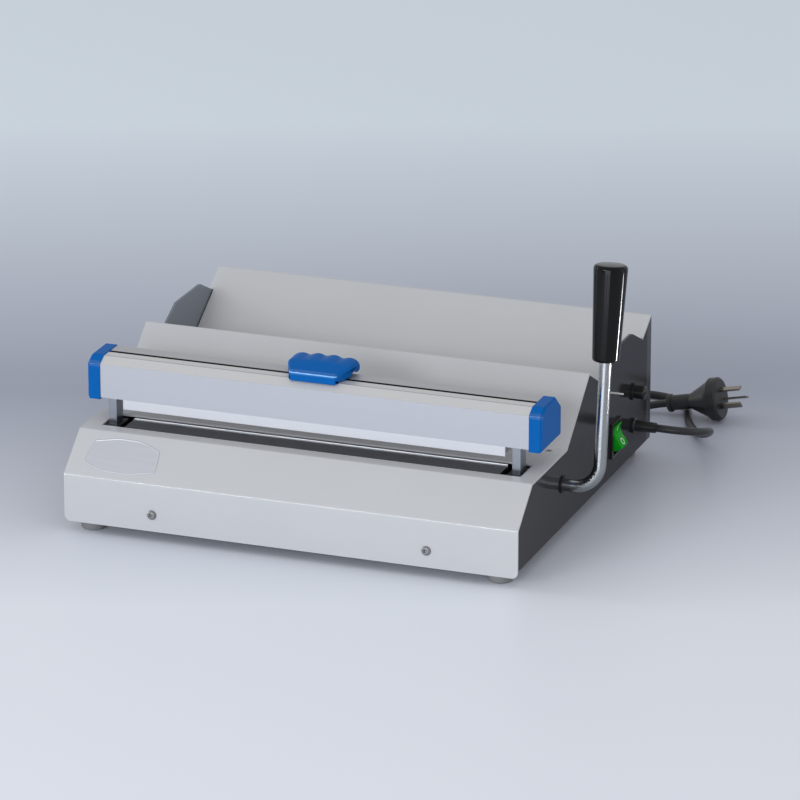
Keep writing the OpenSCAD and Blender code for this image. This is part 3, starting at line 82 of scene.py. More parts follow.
# The cord's route, on the same points as the model's source
LEAD_ROUTE = [(210, 285.5, 39.5), (217.5, 285.5, 39.4), (226, 287, 38.8), (233.5, 291, 37.6),
              (239.5, 297, 36), (243.3, 304.5, 34), (244.8, 313, 31.5), (244.2, 322, 28.5),
              (241.8, 331.5, 24.8), (238, 341, 20.4), (233.3, 350.5, 15.8), (228, 360, 11.4),
              (222.5, 369.5, 7.8), (216.5, 379, 5.2), (210.5, 388.5, 3.8), (204.8, 398, 3.4),
              (199.8, 408, 3.4), (196, 418, 3.4), (193, 428, 3.4), (189.3, 438, 3.4),
              (184, 447, 3.4), (176.5, 454.5, 3.4), (167, 459.5, 3.4), (156, 462, 3.4),
              (144, 462, 3.4), (131, 460, 3.4), (117, 456.5, 3.4), (103, 453, 3.4),
              (88.5, 450.2, 3.4), (76, 449, 3.4), (66.4, 449, 3.4)]
TAIL_ROUTE = [(66.4, 361, 10.3), (74, 361, 10.2), (84, 362.5, 9.2), (94, 366.5, 7.2), (103, 372.5, 5),
              (110.8, 380, 3.7), (118, 388.5, 3.4), (125, 397.2, 3.4), (132.5, 405.5, 3.4),
              (140.5, 413, 3.7), (149, 419.8, 4.7), (158, 425.3, 6.2), (164, 427.4, 7.4),
              (169.8, 428, 8.7), (176, 428, 10)]
COIL_MIDDLE = (60, 405)
COIL_RADIUS, COIL_PITCH, COIL_TURNS, COIL_CLIMB = 44, 6.9, 2, 0.5
COIL_RINGS = 36
CORD_HEIGHT = 3.4
CORD_STEP = 0.0005


def coil_route():
    """The coil's points: in on the table, up in half a turn, and out again."""
    middle = COIL_TURNS + COIL_CLIMB / 2
    for step in range(int((2 * COIL_TURNS + COIL_CLIMB) * COIL_RINGS) + 1):
        turn = step / COIL_RINGS
        radius = COIL_RADIUS - COIL_PITCH * (min(turn, middle) - max(0, turn - middle))
        lift = min(1, max(0, (turn - COIL_TURNS) / COIL_CLIMB))
        angle = math.radians(90 + 360 * turn)
        yield (COIL_MIDDLE[0] + radius * math.cos(angle), COIL_MIDDLE[1] + radius * math.sin(angle),
               CORD_HEIGHT + COIL_PITCH * lift)


def smoothed(route, steps=4):
    """A finer route through the same points."""
    points = [Vector(p) for p in route]
    padded = [2 * points[0] - points[1]] + points + [2 * points[-1] - points[-2]]
    fine = []
    for a, b, c, d in zip(padded, padded[1:], padded[2:], padded[3:]):
        for k in range(steps):
            t = k / steps
            fine.append(0.5 * (2 * b + t * (c - a) + t * t * (2 * a - 5 * b + 4 * c - d)
                               + t ** 3 * (3 * b - a - 3 * c + d)))
    return fine + [points[-1]]


class Signal:
    """A socket in a material's nodes, with arithmetic that adds the nodes it needs."""

    def __init__(self, finish, socket):
        self.finish, self.socket = finish, socket

    def _math(self, operation, *values):
        return self.finish.node("ShaderNodeMath", {"operation": operation}, dict(enumerate(values)))

    def __add__(self, other): return self._math("ADD", self, other)
    def __radd__(self, other): return self._math("ADD", other, self)
    def __sub__(self, other): return self._math("SUBTRACT", self, other)
    def __mul__(self, other): return self._math("MULTIPLY", self, other)
    def __rmul__(self, other): return self._math("MULTIPLY", other, self)
    def __truediv__(self, other): return self._math("DIVIDE", self, other)
    def __gt__(self, other): return self._math("GREATER_THAN", self, other)
    def __lt__(self, other): return self._math("LESS_THAN", self, other)
    def __abs__(self): return self._math("ABSOLUTE", self)
    def sin(self): return self._math("SINE", self)
    def root(self): return self._math("SQRT", self)
    def clip(self): return self.finish.node("ShaderNodeClamp", {}, {"Value": self})

    def blend(self, low, high):
        """Goes from one colour to another as this value goes from 0 to 1."""
        return self.finish.node("ShaderNodeMix", {"data_type": "RGBA"}, {0: self, 6: low, 7: high}, output=2)

    def part(self, axis):
        """One of the X, Y and Z values of a vector."""
        return self.finish.node("ShaderNodeSeparateXYZ", {}, {"Vector": self}, output=axis)


class Finish:
    """A material that is written as expressions."""

    def __init__(self, name, colour, metal=0.0, rough=0.5, **fixed):
        self.material = bpy.data.materials.new(name)
        self.material.use_nodes = True
        self.tree = self.material.node_tree
        self.shader = self.tree.nodes["Principled BSDF"]
        self.material.diffuse_color = (*colour, 1)
        self.shader.inputs["Base Color"].default_value = (*colour, 1)
        self.shader.inputs["Metallic"].default_value = metal
        self.shader.inputs["Roughness"].default_value = rough
        for socket, value in fixed.items():
            self.shader.inputs[socket.replace("_", " ")].default_value = value

    def node(self, kind, settings, inputs, output=0):
        """Adds one node, sets it, feeds it, and gives one of its outputs."""
        added = self.tree.nodes.new(kind)
        for name, value in settings.items():
            setattr(added, name, value)
        for key, value in inputs.items():
            if isinstance(value, Signal):
                self.tree.links.new(value.socket, added.inputs[key])
            elif isinstance(value, tuple) and len(value) == 3 and added.inputs[key].type == "RGBA":
                added.inputs[key].default_value = (*value, 1)
            else:
                added.inputs[key].default_value = value
        return Signal(self, added.outputs[output])

    def place(self, scale=(1, 1, 1), turn=(0, 0, 0)):
        """Object coordinates, stretched and turned."""
        spot = self.node("ShaderNodeTexCoord", {}, {}, output=3)
        return self.node("ShaderNodeMapping", {}, {"Vector": spot, "Scale": scale, "Rotation": turn})

    def noise(self, scale, detail=2.0, rough=0.5, spot=None):
        """A soft random value, with its scale in waves to the metre."""
        return self.node("ShaderNodeTexNoise", {}, {"Vector": spot or self.place(), "Scale": scale,
                                                    "Detail": detail, "Roughness": rough})

    def feed(self, socket, signal):
        """Leads a varying value or colour into the shader."""
        self.tree.links.new(signal.socket, self.shader.inputs[socket])
        return self

    def bump(self, height, depth, strength):
        """Raises the surface by a height that is given in metres."""
        return self.feed("Normal", self.node("ShaderNodeBump", {}, {
            "Height": height, "Distance": depth, "Strength": strength}))


def held(value):
    """A number held between 0 and 1."""
    return min(1.0, max(0.0, value))


def shade(colour, share):
    """A colour made darker or lighter by a share."""
    return tuple(min(1.0, c * share) for c in colour)


def front_strip(y, z, height, half, reach):
    """1 along a front edge: within half of a height, and nearer the front than reach."""
    return (abs(z - height) < half) * (y < reach)


# The bend between front panel and slope: its height, half its width and how far back it goes
PANEL_BEND = (0.0475, 0.0028, 0.0035)


def powder_coat(name, colour, rough, grain):
    """Baked paint with a faint orange peel and a slightly uneven gloss, and a gleam on the panel's bend."""
    coat = Finish(name, colour, rough=rough, IOR=1.5, Coat_Roughness=0.07)
    spot = coat.place()
    coat.feed("Coat Weight", 0.2 + 0.8 * front_strip(spot.part(1) - FRONT_Y, spot.part(2), *PANEL_BEND))
    cloud = coat.noise(14, 3)
    coat.feed("Base Color", cloud.blend(shade(colour, 0.96), shade(colour, 1.03)))
    peel = coat.noise(grain, 2)
    coat.feed("Roughness", rough - 0.05 + 0.1 * coat.noise(160, 3) + 0.04 * peel)
    return coat.bump(peel, 0.00006, 0.5)


# Half the distance between the side plates' inner faces, and where their bent back edges start
SIDE_INNER_X, REAR_EDGE_Y = 0.1882, 0.3215
# The inner faces' colour is painted reflected light, and the back edges' share is a painted highlight on
# their bend
INNER_REFLECTED_LIGHT, REAR_HIGHLIGHT_SHARE = (0.215, 0.24, 0.275), 3.6


def gloss_paint(name, colour, rough):
    """Smooth dark enamel with a trace of wiping, with painted reflected light on its inner faces and a
    painted highlight on its bent back edges.
    """
    paint_coat = Finish(name, colour, rough=rough, IOR=1.2)
    wipe = paint_coat.noise(25, 3, 0.6, paint_coat.place((1, 1, 3)))
    spot = paint_coat.place()
    inner = abs(spot.part(0) - MID_X) < SIDE_INNER_X
    rear = spot.part(1) > FRONT_Y + REAR_EDGE_Y
    skin = wipe.blend(shade(colour, 0.94), shade(colour, 1.06))
    # A painted highlight on the bent back edges, then painted reflected light on the inner faces
    skin = rear.blend(skin, shade(colour, REAR_HIGHLIGHT_SHARE))
    paint_coat.feed("Base Color", inner.blend(skin, INNER_REFLECTED_LIGHT))
    paint_coat.feed("Roughness", rough + 0.03 * wipe)
    return paint_coat.bump(paint_coat.noise(60, 1), 0.00004, 0.3)


def brushed_metal(name, colour, rough, along=(1, 0, 0), depth=0.00002):
    """Metal with fine lines in the way it was drawn or ground."""
    metal = Finish(name, colour, metal=1.0, rough=rough)
    stretch = tuple(12 if a else 1400 for a in along)
    lines = metal.noise(1, 3, 0.6, metal.place(stretch))
    metal.feed("Base Color", lines.blend(shade(colour, 0.88), shade(colour, 1.06)))
    metal.feed("Roughness", rough - 0.06 + 0.14 * lines)
    return metal.bump(lines, depth, 0.4)


# Places across the bar, behind the front panel: the cutter's slot and the line in front of it
SLOT_Y, SLOT_HALF = 0.073, 0.0019
LINE_Y, LINE_HALF = 0.0625, 0.0006
# How far below the bar's top its chamfers, its line and its flat top reach
CHAMFER_DROP, LINE_DROP, FLAT_DROP = 0.0046, 0.0006, 0.0002
# The chamfers' colour is a painted highlight, the back top's a painted shade and the slot's a painted shadow
CHAMFER_HIGHLIGHT, BACK_TOP_SHADE = (0.67, 0.665, 0.655), (0.46, 0.465, 0.48)
LINE_SKIN, JAW_SKIN, SLOT_SHADOW = (0.36, 0.36, 0.37), (0.68, 0.69, 0.72), (0.01, 0.01, 0.01)


def anodised_bar(name, colour):
    """Satin anodised aluminium, with painted shadow in its slot, a painted highlight on its chamfers, painted
    shade on its top behind the slot, and a paler jaw.
    """
    metal = Finish(name, colour, metal=0.35, rough=0.4)
    lines = metal.noise(1, 2, 0.6, metal.place((10, 900, 900)))
    spot = metal.place()
    y, z = spot.part(1) - FRONT_Y, spot.part(2)
    low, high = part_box("press_bar")
    bottom, top = low[2], high[2]
    skin = lines.blend(shade(colour, 0.98), shade(colour, 1.02))
    # A painted highlight over the chamfers, then painted shade on the flat top behind the slot
    skin = (z > top - CHAMFER_DROP).blend(skin, CHAMFER_HIGHLIGHT)
    skin = ((z > top - FLAT_DROP) * (y > SLOT_Y)).blend(skin, BACK_TOP_SHADE)
    skin = ((z > top - LINE_DROP) * (abs(y - LINE_Y) < LINE_HALF)).blend(skin, LINE_SKIN)
    skin = (z < bottom).blend(skin, JAW_SKIN)
    # Painted shadow in the cutter's slot
    metal.feed("Base Color", (abs(y - SLOT_Y) < SLOT_HALF).blend(skin, SLOT_SHADOW))
    metal.feed("Roughness", 0.36 + 0.08 * lines)
    return metal.bump(lines, 0.000006, 0.4)


def ringed_steel(name, colour, rough):
    """Turned steel with fine rings left around it by the tool."""
    steel = Finish(name, colour, metal=1.0, rough=rough)
    rings = steel.noise(1, 2, 0.5, steel.place((1, 1, 3500)))
    steel.feed("Base Color", rings.blend(shade(colour, 0.95), shade(colour, 1.03)))
    steel.feed("Roughness", rough + 0.05 * steel.noise(80, 3))
    return steel.bump(rings, 0.00008, 1.0)


def polished_steel(name, colour, rough):
    """Bright drawn steel with faint handling marks."""
    steel = Finish(name, colour, metal=1.0, rough=rough)
    marks = steel.noise(60, 4, 0.6)
    steel.feed("Roughness", rough * (0.7 + 0.6 * marks))
    steel.feed("Base Color", marks.blend(shade(colour, 0.93), shade(colour, 1.03)))
    return steel.bump(steel.noise(900, 2), 0.000008, 0.4)


def moulded_plastic(name, colour, rough, grain=900, depth=0.00003):
    """Moulded plastic with a little flow in its gloss. Its coat only shows where a weight is fed."""
    plastic = Finish(name, colour, rough=rough, IOR=1.5, Coat_Roughness=0.06)
    flow = plastic.noise(30, 3)
    plastic.feed("Base Color", flow.blend(shade(colour, 0.92), shade(colour, 1.08)))
    plastic.feed("Roughness", rough * (0.85 + 0.3 * flow))
    return plastic.bump(plastic.noise(grain, 2), depth, 0.4)


def moulded_rubber(name, colour, rough):
    """Rubber with a dull, slightly dusty skin."""
    rubber = Finish(name, colour, rough=rough, IOR=1.5)
    dust = rubber.noise(120, 4, 0.65)
    rubber.feed("Base Color", dust.blend(shade(colour, 0.85), shade(colour, 1.25)))
    rubber.feed("Roughness", rough - 0.06 + 0.12 * dust)
    return rubber.bump(rubber.noise(1500, 2), 0.00005, 0.5)


# Waves in the finishes that repeat, in radians to the metre
WEAVE, TURNS, SHEETS = 5200, 7800, 9000


def coated_cloth(name, colour):
    """Smooth coated glass cloth whose weave shows through."""
    cloth = Finish(name, colour, rough=0.42, IOR=1.4)
    spot = cloth.place()
    weave = (spot.part(0) * WEAVE).sin() * (spot.part(1) * WEAVE).sin()
    cloth.feed("Base Color", (weave * 0.5 + 0.5).blend(shade(colour, 0.8), shade(colour, 1.2)))
    cloth.feed("Roughness", 0.38 + 0.08 * cloth.noise(300, 2))
    return cloth.bump(weave, 0.00004, 0.5)


def wound_wire(name, colour):
    """Lacquered copper turns laid side by side, with painted shade in the grooves between them."""
    wire = Finish(name, colour, metal=1.0, rough=0.3)
    turns = (wire.place().part(2) * TURNS).sin()
    # Painted shade in the grooves between the turns, following the bump
    wire.feed("Base Color", (turns * 0.5 + 0.5).blend(shade(colour, 0.55), shade(colour, 1.15)))
    return wire.bump(turns, 0.0002, 0.8)


def stacked_sheets(name, colour):
    """Varnished steel sheets stacked on edge."""
    stack = Finish(name, colour, metal=0.8, rough=0.45)
    edges = (stack.place().part(1) * SHEETS).sin()
    stack.feed("Base Color", (edges * 0.5 + 0.5).blend(shade(colour, 0.7), shade(colour, 1.1)))
    return stack.bump(edges, 0.0001, 0.6)


class SEALER_colours(bpy.types.PropertyGroup):
    """The machine's colours."""
    cover: bpy.props.FloatVectorProperty(name="Cover paint", description="Front and back covers",
                                         subtype="COLOR", default=(0.56, 0.565, 0.57), min=0, max=1)
    side: bpy.props.FloatVectorProperty(name="Side paint", description="Side plates",
                                        subtype="COLOR", default=(0.021, 0.021, 0.023), min=0, max=1)
    bar: bpy.props.FloatVectorProperty(name="Bar", description="Anodised press bar",
                                       subtype="COLOR", default=(0.51, 0.525, 0.565), min=0, max=1)
    trim: bpy.props.FloatVectorProperty(name="Blue trim", description="End caps and cutter handle",
                                        subtype="COLOR", default=(0.005, 0.12, 0.42), min=0, max=1)
    rocker: bpy.props.FloatVectorProperty(name="Rocker", description="Switch rocker",
                                          subtype="COLOR", default=(0.004, 0.34, 0.01), min=0, max=1)


class SEALER_sizes(bpy.types.PropertyGroup):
    """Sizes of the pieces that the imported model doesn't hold."""
    cord_width: bpy.props.FloatProperty(name="Cord", description="Diameter of the mains cord",
                                        unit="LENGTH", default=0.0064, min=0.005, max=0.008)
    edge: bpy.props.FloatProperty(name="Edge", description="Rounding of a sheet or moulding edge",
                                  unit="LENGTH", default=0.0004, min=0.0001, max=0.001)


def keep(obj, body, finish, *nodes):
    """Gives a finished piece its material, its body and the nodes it stands for."""
    obj.data.materials.clear()
    obj.data.materials.append(finish.material)
    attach(obj, body)
    if nodes:
        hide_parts(*nodes)
    return obj


def new_object(name, form):
    """Makes an object from a bmesh, with its faces turned outwards."""
    bmesh.ops.recalc_face_normals(form, faces=form.faces)
    mesh = bpy.data.meshes.new(name)
    form.to_mesh(mesh)
    form.free()
    obj = bpy.data.objects.new(name, mesh)
    bpy.context.scene.collection.objects.link(obj)
    return obj


def round_edges(obj, width, segments=2, angle=32):
    """Softens the sharp edges and smooths the rest."""
    for face in obj.data.polygons:
        face.use_smooth = True
    obj.data.set_sharp_from_angle(angle=math.radians(angle))
    if width:
        bevel = obj.modifiers.new("edges", "BEVEL")
        bevel.width, bevel.segments, bevel.limit_method = width, segments, "ANGLE"
        bevel.angle_limit, bevel.harden_normals = math.radians(angle), True
        bevel.use_clamp_overlap = True
    return obj


def rounded(corners, steps):
    """A closed outline of (a, b, radius) corners, with each corner rounded."""
    outline = []
    for index, (a, b, radius) in enumerate(corners):
        here = Vector((a, b))
        before = (Vector(corners[index - 1][:2]) - here).normalized()
        after = (Vector(corners[(index + 1) % len(corners)][:2]) - here).normalized()
        half = before.angle(after) / 2
        if not radius or half > math.radians(89.5):
            outline.append(here)
            continue
        middle = here + (before + after).normalized() * radius / math.sin(half)
        start = here + before * radius / math.tan(half) - middle
        sweep = (math.pi - 2 * half) * (1 if before.cross(after) < 0 else -1)
        outline += [middle + Matrix.Rotation(sweep * k / steps, 2) @ start for k in range(steps + 1)]
    return outline


def lofted(name, rings):
    """A closed piece through equal rings of points, capped at both ends."""
    form = bmesh.new()
    rows = [[form.verts.new(spot) for spot in ring] for ring in rings]
    count = len(rows[0])
    for low, high in zip(rows, rows[1:]):
        for k in range(count):
            form.faces.new((low[k], low[(k + 1) % count], high[(k + 1) % count], high[k]))
    form.faces.new(rows[0])
    form.faces.new(rows[-1])
    return new_object(name, form)


def inset_ring(ring, depth):
    """A ring of flat points moved inwards by a depth."""
    count = len(ring)
    area = sum(ring[k - 1].cross(ring[k]) for k in range(count))
    moved = []
    for k in range(count):
        along = (ring[(k + 1) % count] - ring[k - 1]).normalized()
        inward = Vector((-along.y, along.x)) * (1 if area > 0 else -1)
        moved.append(ring[k] + inward * depth)
    return moved


# How near a point lies to a face that is moved, to move with it
FLUSH_REACH = 0.00003
# Faces that meet flatter than this, in degrees, become one
FLAT_ANGLE = 0.5


def copied(node, flush=None):
    """A copy of a node's mesh with its triangles joined up, and one face moved from X to X if asked."""
    form = bmesh.new()
    form.from_mesh(NODES[node].data)
    if flush:
        for vert in form.verts:
            if abs(vert.co.x - flush[0]) < FLUSH_REACH:
                vert.co.x = flush[1]
    bmesh.ops.remove_doubles(form, verts=form.verts, dist=1e-6)
    bmesh.ops.dissolve_limit(form, angle_limit=math.radians(FLAT_ANGLE), verts=form.verts,
                             edges=form.edges)
    return new_object(node + "_dressed", form)


def dressed(node, finish, width, segments=2, angle=32, flush=None):
    """A copy of a node with its edges rounded, which stands for it."""
    return keep(round_edges(copied(node, flush), width, segments, angle), BODY_OF[node], finish, node)


def paint(finish, *nodes):
    """Gives nodes whose shape is right their material."""
    for node in nodes:
        slots = NODES[node].data.materials
        for index in range(len(slots)):
            slots[index] = finish.material


# The photograph's view: place in millimetres, angles in degrees, focal length and width in pixels
VIEW_PLACE = (1534.8, -3919.9, 1601.3)
VIEW_FALL, VIEW_TURN = 19.172, 20.185
VIEW_FOCAL, VIEW_WIDTH, SENSOR_WIDTH = 5750.6, 800, 36
VIEW_SHIFT = (-0.0006, -0.0094)


class SEALER_OT_camera(bpy.types.Operator):
    """Set the camera at the photograph's view."""
    bl_idname = "sealer.camera"
    bl_label = "Camera"

    def execute(self, context):
        data = bpy.data.cameras.new("view")
        camera = bpy.data.objects.new("view", data)
        context.scene.collection.objects.link(camera)
        camera.location = at(*VIEW_PLACE)
        camera.rotation_euler = (math.radians(90 - VIEW_FALL), 0, math.radians(VIEW_TURN))
        data.sensor_width = SENSOR_WIDTH
        data.lens = SENSOR_WIDTH * VIEW_FOCAL / VIEW_WIDTH
        data.shift_x, data.shift_y = VIEW_SHIFT
        data.clip_end = 50
        context.scene.camera = camera
        return {"FINISHED"}


class SEALER_OT_cord(bpy.types.Operator):
    """Lay the mains cord from its gland to its plug."""
    bl_idname = "sealer.cord"
    bl_label = "Mains cord"

    def execute(self, context):
        width = context.scene.sealer_sizes.cord_width
        route = smoothed(LEAD_ROUTE) + list(coil_route()) + smoothed(TAIL_ROUTE)
        points = []
        for spot in (at(*p) for p in route):
            if not points or (spot - points[-1]).length > CORD_STEP:
                points.append(spot)
        curve = bpy.data.curves.new("mains_cord", "CURVE")
        curve.dimensions, curve.bevel_depth, curve.bevel_resolution = "3D", width / 2, 6
        curve.use_fill_caps = True
        line = curve.splines.new("POLY")
        line.points.add(len(points) - 1)
        for point, spot in zip(line.points, points):
            point.co = (*spot, 1)
        cord = bpy.data.objects.new("mains_cord", curve)
        context.scene.collection.objects.link(cord)
        keep(cord, "base", moulded_rubber("cord_rubber", (0.018, 0.018, 0.019), 0.38),
             "cord_lead", "cord_coil", "cord_tail")
        return {"FINISHED"}


FLOOR_HALF = 9
# The floor's colours from near to far, the middle one a painted shade, and where each change starts and how
# long it is, in metres
FLOOR_NEAR, FLOOR_MIDDLE_SHADE, FLOOR_FAR = (0.88, 0.91, 0.97), (0.4, 0.43, 0.52), (0.84, 0.93, 1.0)
NEAR_CHANGE, FAR_CHANGE = (-0.25, 0.5), (0.3, 0.75)
WHITE = (1.0, 1.0, 1.0)
SKY_COLOUR, SKY_STRENGTH = (0.96, 0.97, 1.0, 1), 0.62
# Each lamp's name, place, size, power and colour, and its aim and spread where it has its own
LAMPS = [("front", (0.1, -3.2, 0.66), (2.0, 1.3), 27, (0.86, 0.92, 1.0)),
         ("gleam", (-1.07, -2.87, 1.12), (1.2, 0.5), 19, (0.9, 0.94, 1.0)),
         ("grip_gleam", (0.515, 0.108, 0.07), (0.02, 0.13), 0.05, WHITE, (0.19, -0.05, 0.25), 25),
         ("left_strip", (-2.6, -0.2, 0.75), (0.14, 1.4), 9, WHITE),
         ("right_strip", (2.7, 0.5, 0.75), (0.14, 1.4), 3, WHITE)]


class SEALER_OT_stage(bpy.types.Operator):
    """Set the pale floor, with painted shade across its middle distance, and the soft studio light."""
    bl_idname = "sealer.stage"
    bl_label = "Floor and light"

    def execute(self, context):
        form = bmesh.new()
        bmesh.ops.create_grid(form, x_segments=1, y_segments=1, size=FLOOR_HALF)
        floor = new_object("floor", form)
        pale = Finish("floor", (0.8, 0.83, 0.88), rough=0.4, IOR=1.25)
        depth = pale.place(turn=(0, 0, math.radians(-VIEW_TURN))).part(1)
        near, far = (((depth - start) / length).clip() for start, length in (NEAR_CHANGE, FAR_CHANGE))
        # Painted shade darkens the floor in its middle distance
        pale.feed("Base Color", far.blend(near.blend(FLOOR_NEAR, FLOOR_MIDDLE_SHADE), FLOOR_FAR))
        floor.data.materials.append(pale.material)
        for lamp in LAMPS:
            self.lamp(*lamp)
        world = bpy.data.worlds.new("studio")
        context.scene.world = world
        world.use_nodes = True
        sky = world.node_tree.nodes["Background"]
        sky.inputs["Color"].default_value = SKY_COLOUR
        sky.inputs["Strength"].default_value = SKY_STRENGTH
        context.scene.view_settings.view_transform = "Standard"
        return {"FINISHED"}

    @staticmethod
    def lamp(name, place, size, power, colour, aim=(0, 0, 0.05), spread=180):
        """A flat lamp that faces its aim, with its spread in degrees."""
        data = bpy.data.lights.new(name, "AREA")
        data.spread = math.radians(spread)
        data.shape, data.energy, data.color = "RECTANGLE", power, colour
        data.size, data.size_y = size
        lamp = bpy.data.objects.new(name, data)
        bpy.context.scene.collection.objects.link(lamp)
        lamp.location = place
        lamp.rotation_euler = (Vector(aim) - lamp.location).to_track_quat("-Z", "Y").to_euler()


# Where the right cheek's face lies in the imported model, and the side plate's face that it joins
CHEEK_X, PLATE_X = 188.55, 190
# The front slope's lower edge and its angle, and the plate's corners across and up the slope
SLOPE_Z, SLOPE_ANGLE = 47.4, 39.3
PLAQUE = [(-178.2, 15.7, 3), (-173.8, 33.6, 3), (-154, 37.9, 40), (-133.9, 37.5, 30), (-117.1, 30.4, 3),
          (-115.2, 10.5, 3), (-137.9, 5.7, 40), (-160, 6.5, 40), (-175.5, 11.7, 3)]
# The plate's rim, as distances in from the outline and out of the slope
PLAQUE_RIM = ((0, -0.05), (0, 0.35), (0.3, 0.5), (0.9, 0.5), (1.2, 0.3))


class SEALER_OT_covers(bpy.types.Operator):
    """Paint the covers and the side plates."""
    bl_idname = "sealer.covers"
    bl_label = "Covers and side plates"

    def execute(self, context):
        colours, edge = context.scene.sealer_colours, context.scene.sealer_sizes.edge
        coat = powder_coat("cover_paint", tuple(colours.cover), 0.42, 1300)
        for node in ("front_cover", "rear_cover"):
            dressed(node, coat, edge)
        dark = gloss_paint("side_paint", tuple(colours.side), 0.12)
        dressed("left_side_plate", dark, edge)
        dressed("right_side_plate", dark, edge, flush=(at(CHEEK_X, 0, 0).x, at(PLATE_X, 0, 0).x))
        foil = brushed_metal("plaque_foil", (0.64, 0.65, 0.68), 0.4, depth=0.00001)
        foil.shader.inputs["Metallic"].default_value = 0.45
        keep(self.plaque(), "base", foil)
        return {"FINISHED"}

    @staticmethod
    def plaque():
        """A blank foil plate with a raised rim on the front slope."""
        outline, tilt = rounded(PLAQUE, 6), math.radians(SLOPE_ANGLE)
        rings = []
        for depth, height in PLAQUE_RIM:
            rings.append([at(x, s * math.cos(tilt) - height * math.sin(tilt),
                             SLOPE_Z + s * math.sin(tilt) + height * math.cos(tilt))
                          for x, s in inset_ring(outline, depth)])
        return round_edges(lofted("plaque", rings), 0)


class SEALER_OT_fastenings(bpy.types.Operator):
    """Finish the screws, the feet and the tray."""
    bl_idname = "sealer.fastenings"
    bl_label = "Screws, feet and tray"

    def execute(self, context):
        zinc = brushed_metal("zinc_plate", (0.5, 0.51, 0.53), 0.35)
        paint(zinc, "base_tray", "jaw_brackets", "clamp_strips", "shaft_collars", "crank_pins", "post_screws",
              "left_crank_arm", "right_crank_arm")
        for node in ("left_return_spring", "right_return_spring"):
            spring = round_edges(copied(node), 0)
            spring.data.materials.clear()
            spring.data.materials.append(zinc.material)
            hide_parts(node)
            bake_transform(spring)
        steel = polished_steel("screw_steel", (0.3, 0.3, 0.3), 0.3)
        dressed("cover_screws", steel, 0.0003)
        dressed("feet", moulded_rubber("foot_rubber", (0.2, 0.2, 0.2), 0.55), 0.0004)
        return {"FINISHED"}


# Front edges of the blue trim that gleam: the caps' bend and the handle's nose under a coat, and a painted
# highlight line on the nose
CAP_BEND, NOSE_BEND, NOSE_HIGHLIGHT_LINE = (0.1228, 0.002, 0.0555), (0.1338, 0.0018, 0.0612), (0.1334, 0.00045, 0.0602)
NOSE_HIGHLIGHT = (0.2, 0.5, 0.9)
# The cutter handle's section, back and up from its lower front corner, with each corner's radius
HANDLE = [(0, 0.3, 0.5), (0, 8.4, 1.6), (16, 11.2, 30), (36.6, 12.0, 4.6), (36.6, 2.6, 2.8),
          (31.5, 2.3, 2.5), (26, 4.8, 6), (18.6, 4.2, 3), (16.4, 1.7, 0), (4, 1.7, 0)]
HANDLE_STEPS = 64
# Its ends are rounded over the last share of its width, by this many millimetres
END_SHARE, END_INSET = 0.1, 2.6
# The hollows between its humps: how far they go in and down, where they start and over what length
HOLLOW_IN, HOLLOW_DOWN, HOLLOW_FROM, HOLLOW_OVER = 0.8, 1.3, 21, 12
HOLLOW_SHARP, HOLLOW_FADE = 1.4, 1.5
# The arch along its top: at its ends, more in its middle, and the heights over which it sets in
ARCH_ENDS, ARCH_MORE, ARCH_FROM, ARCH_OVER = 0.6, 1.7, 4, 5
# It widens from this share of its width at the front to all of it at this depth
FRONT_SHARE, WIDE_AT = 0.7, 24


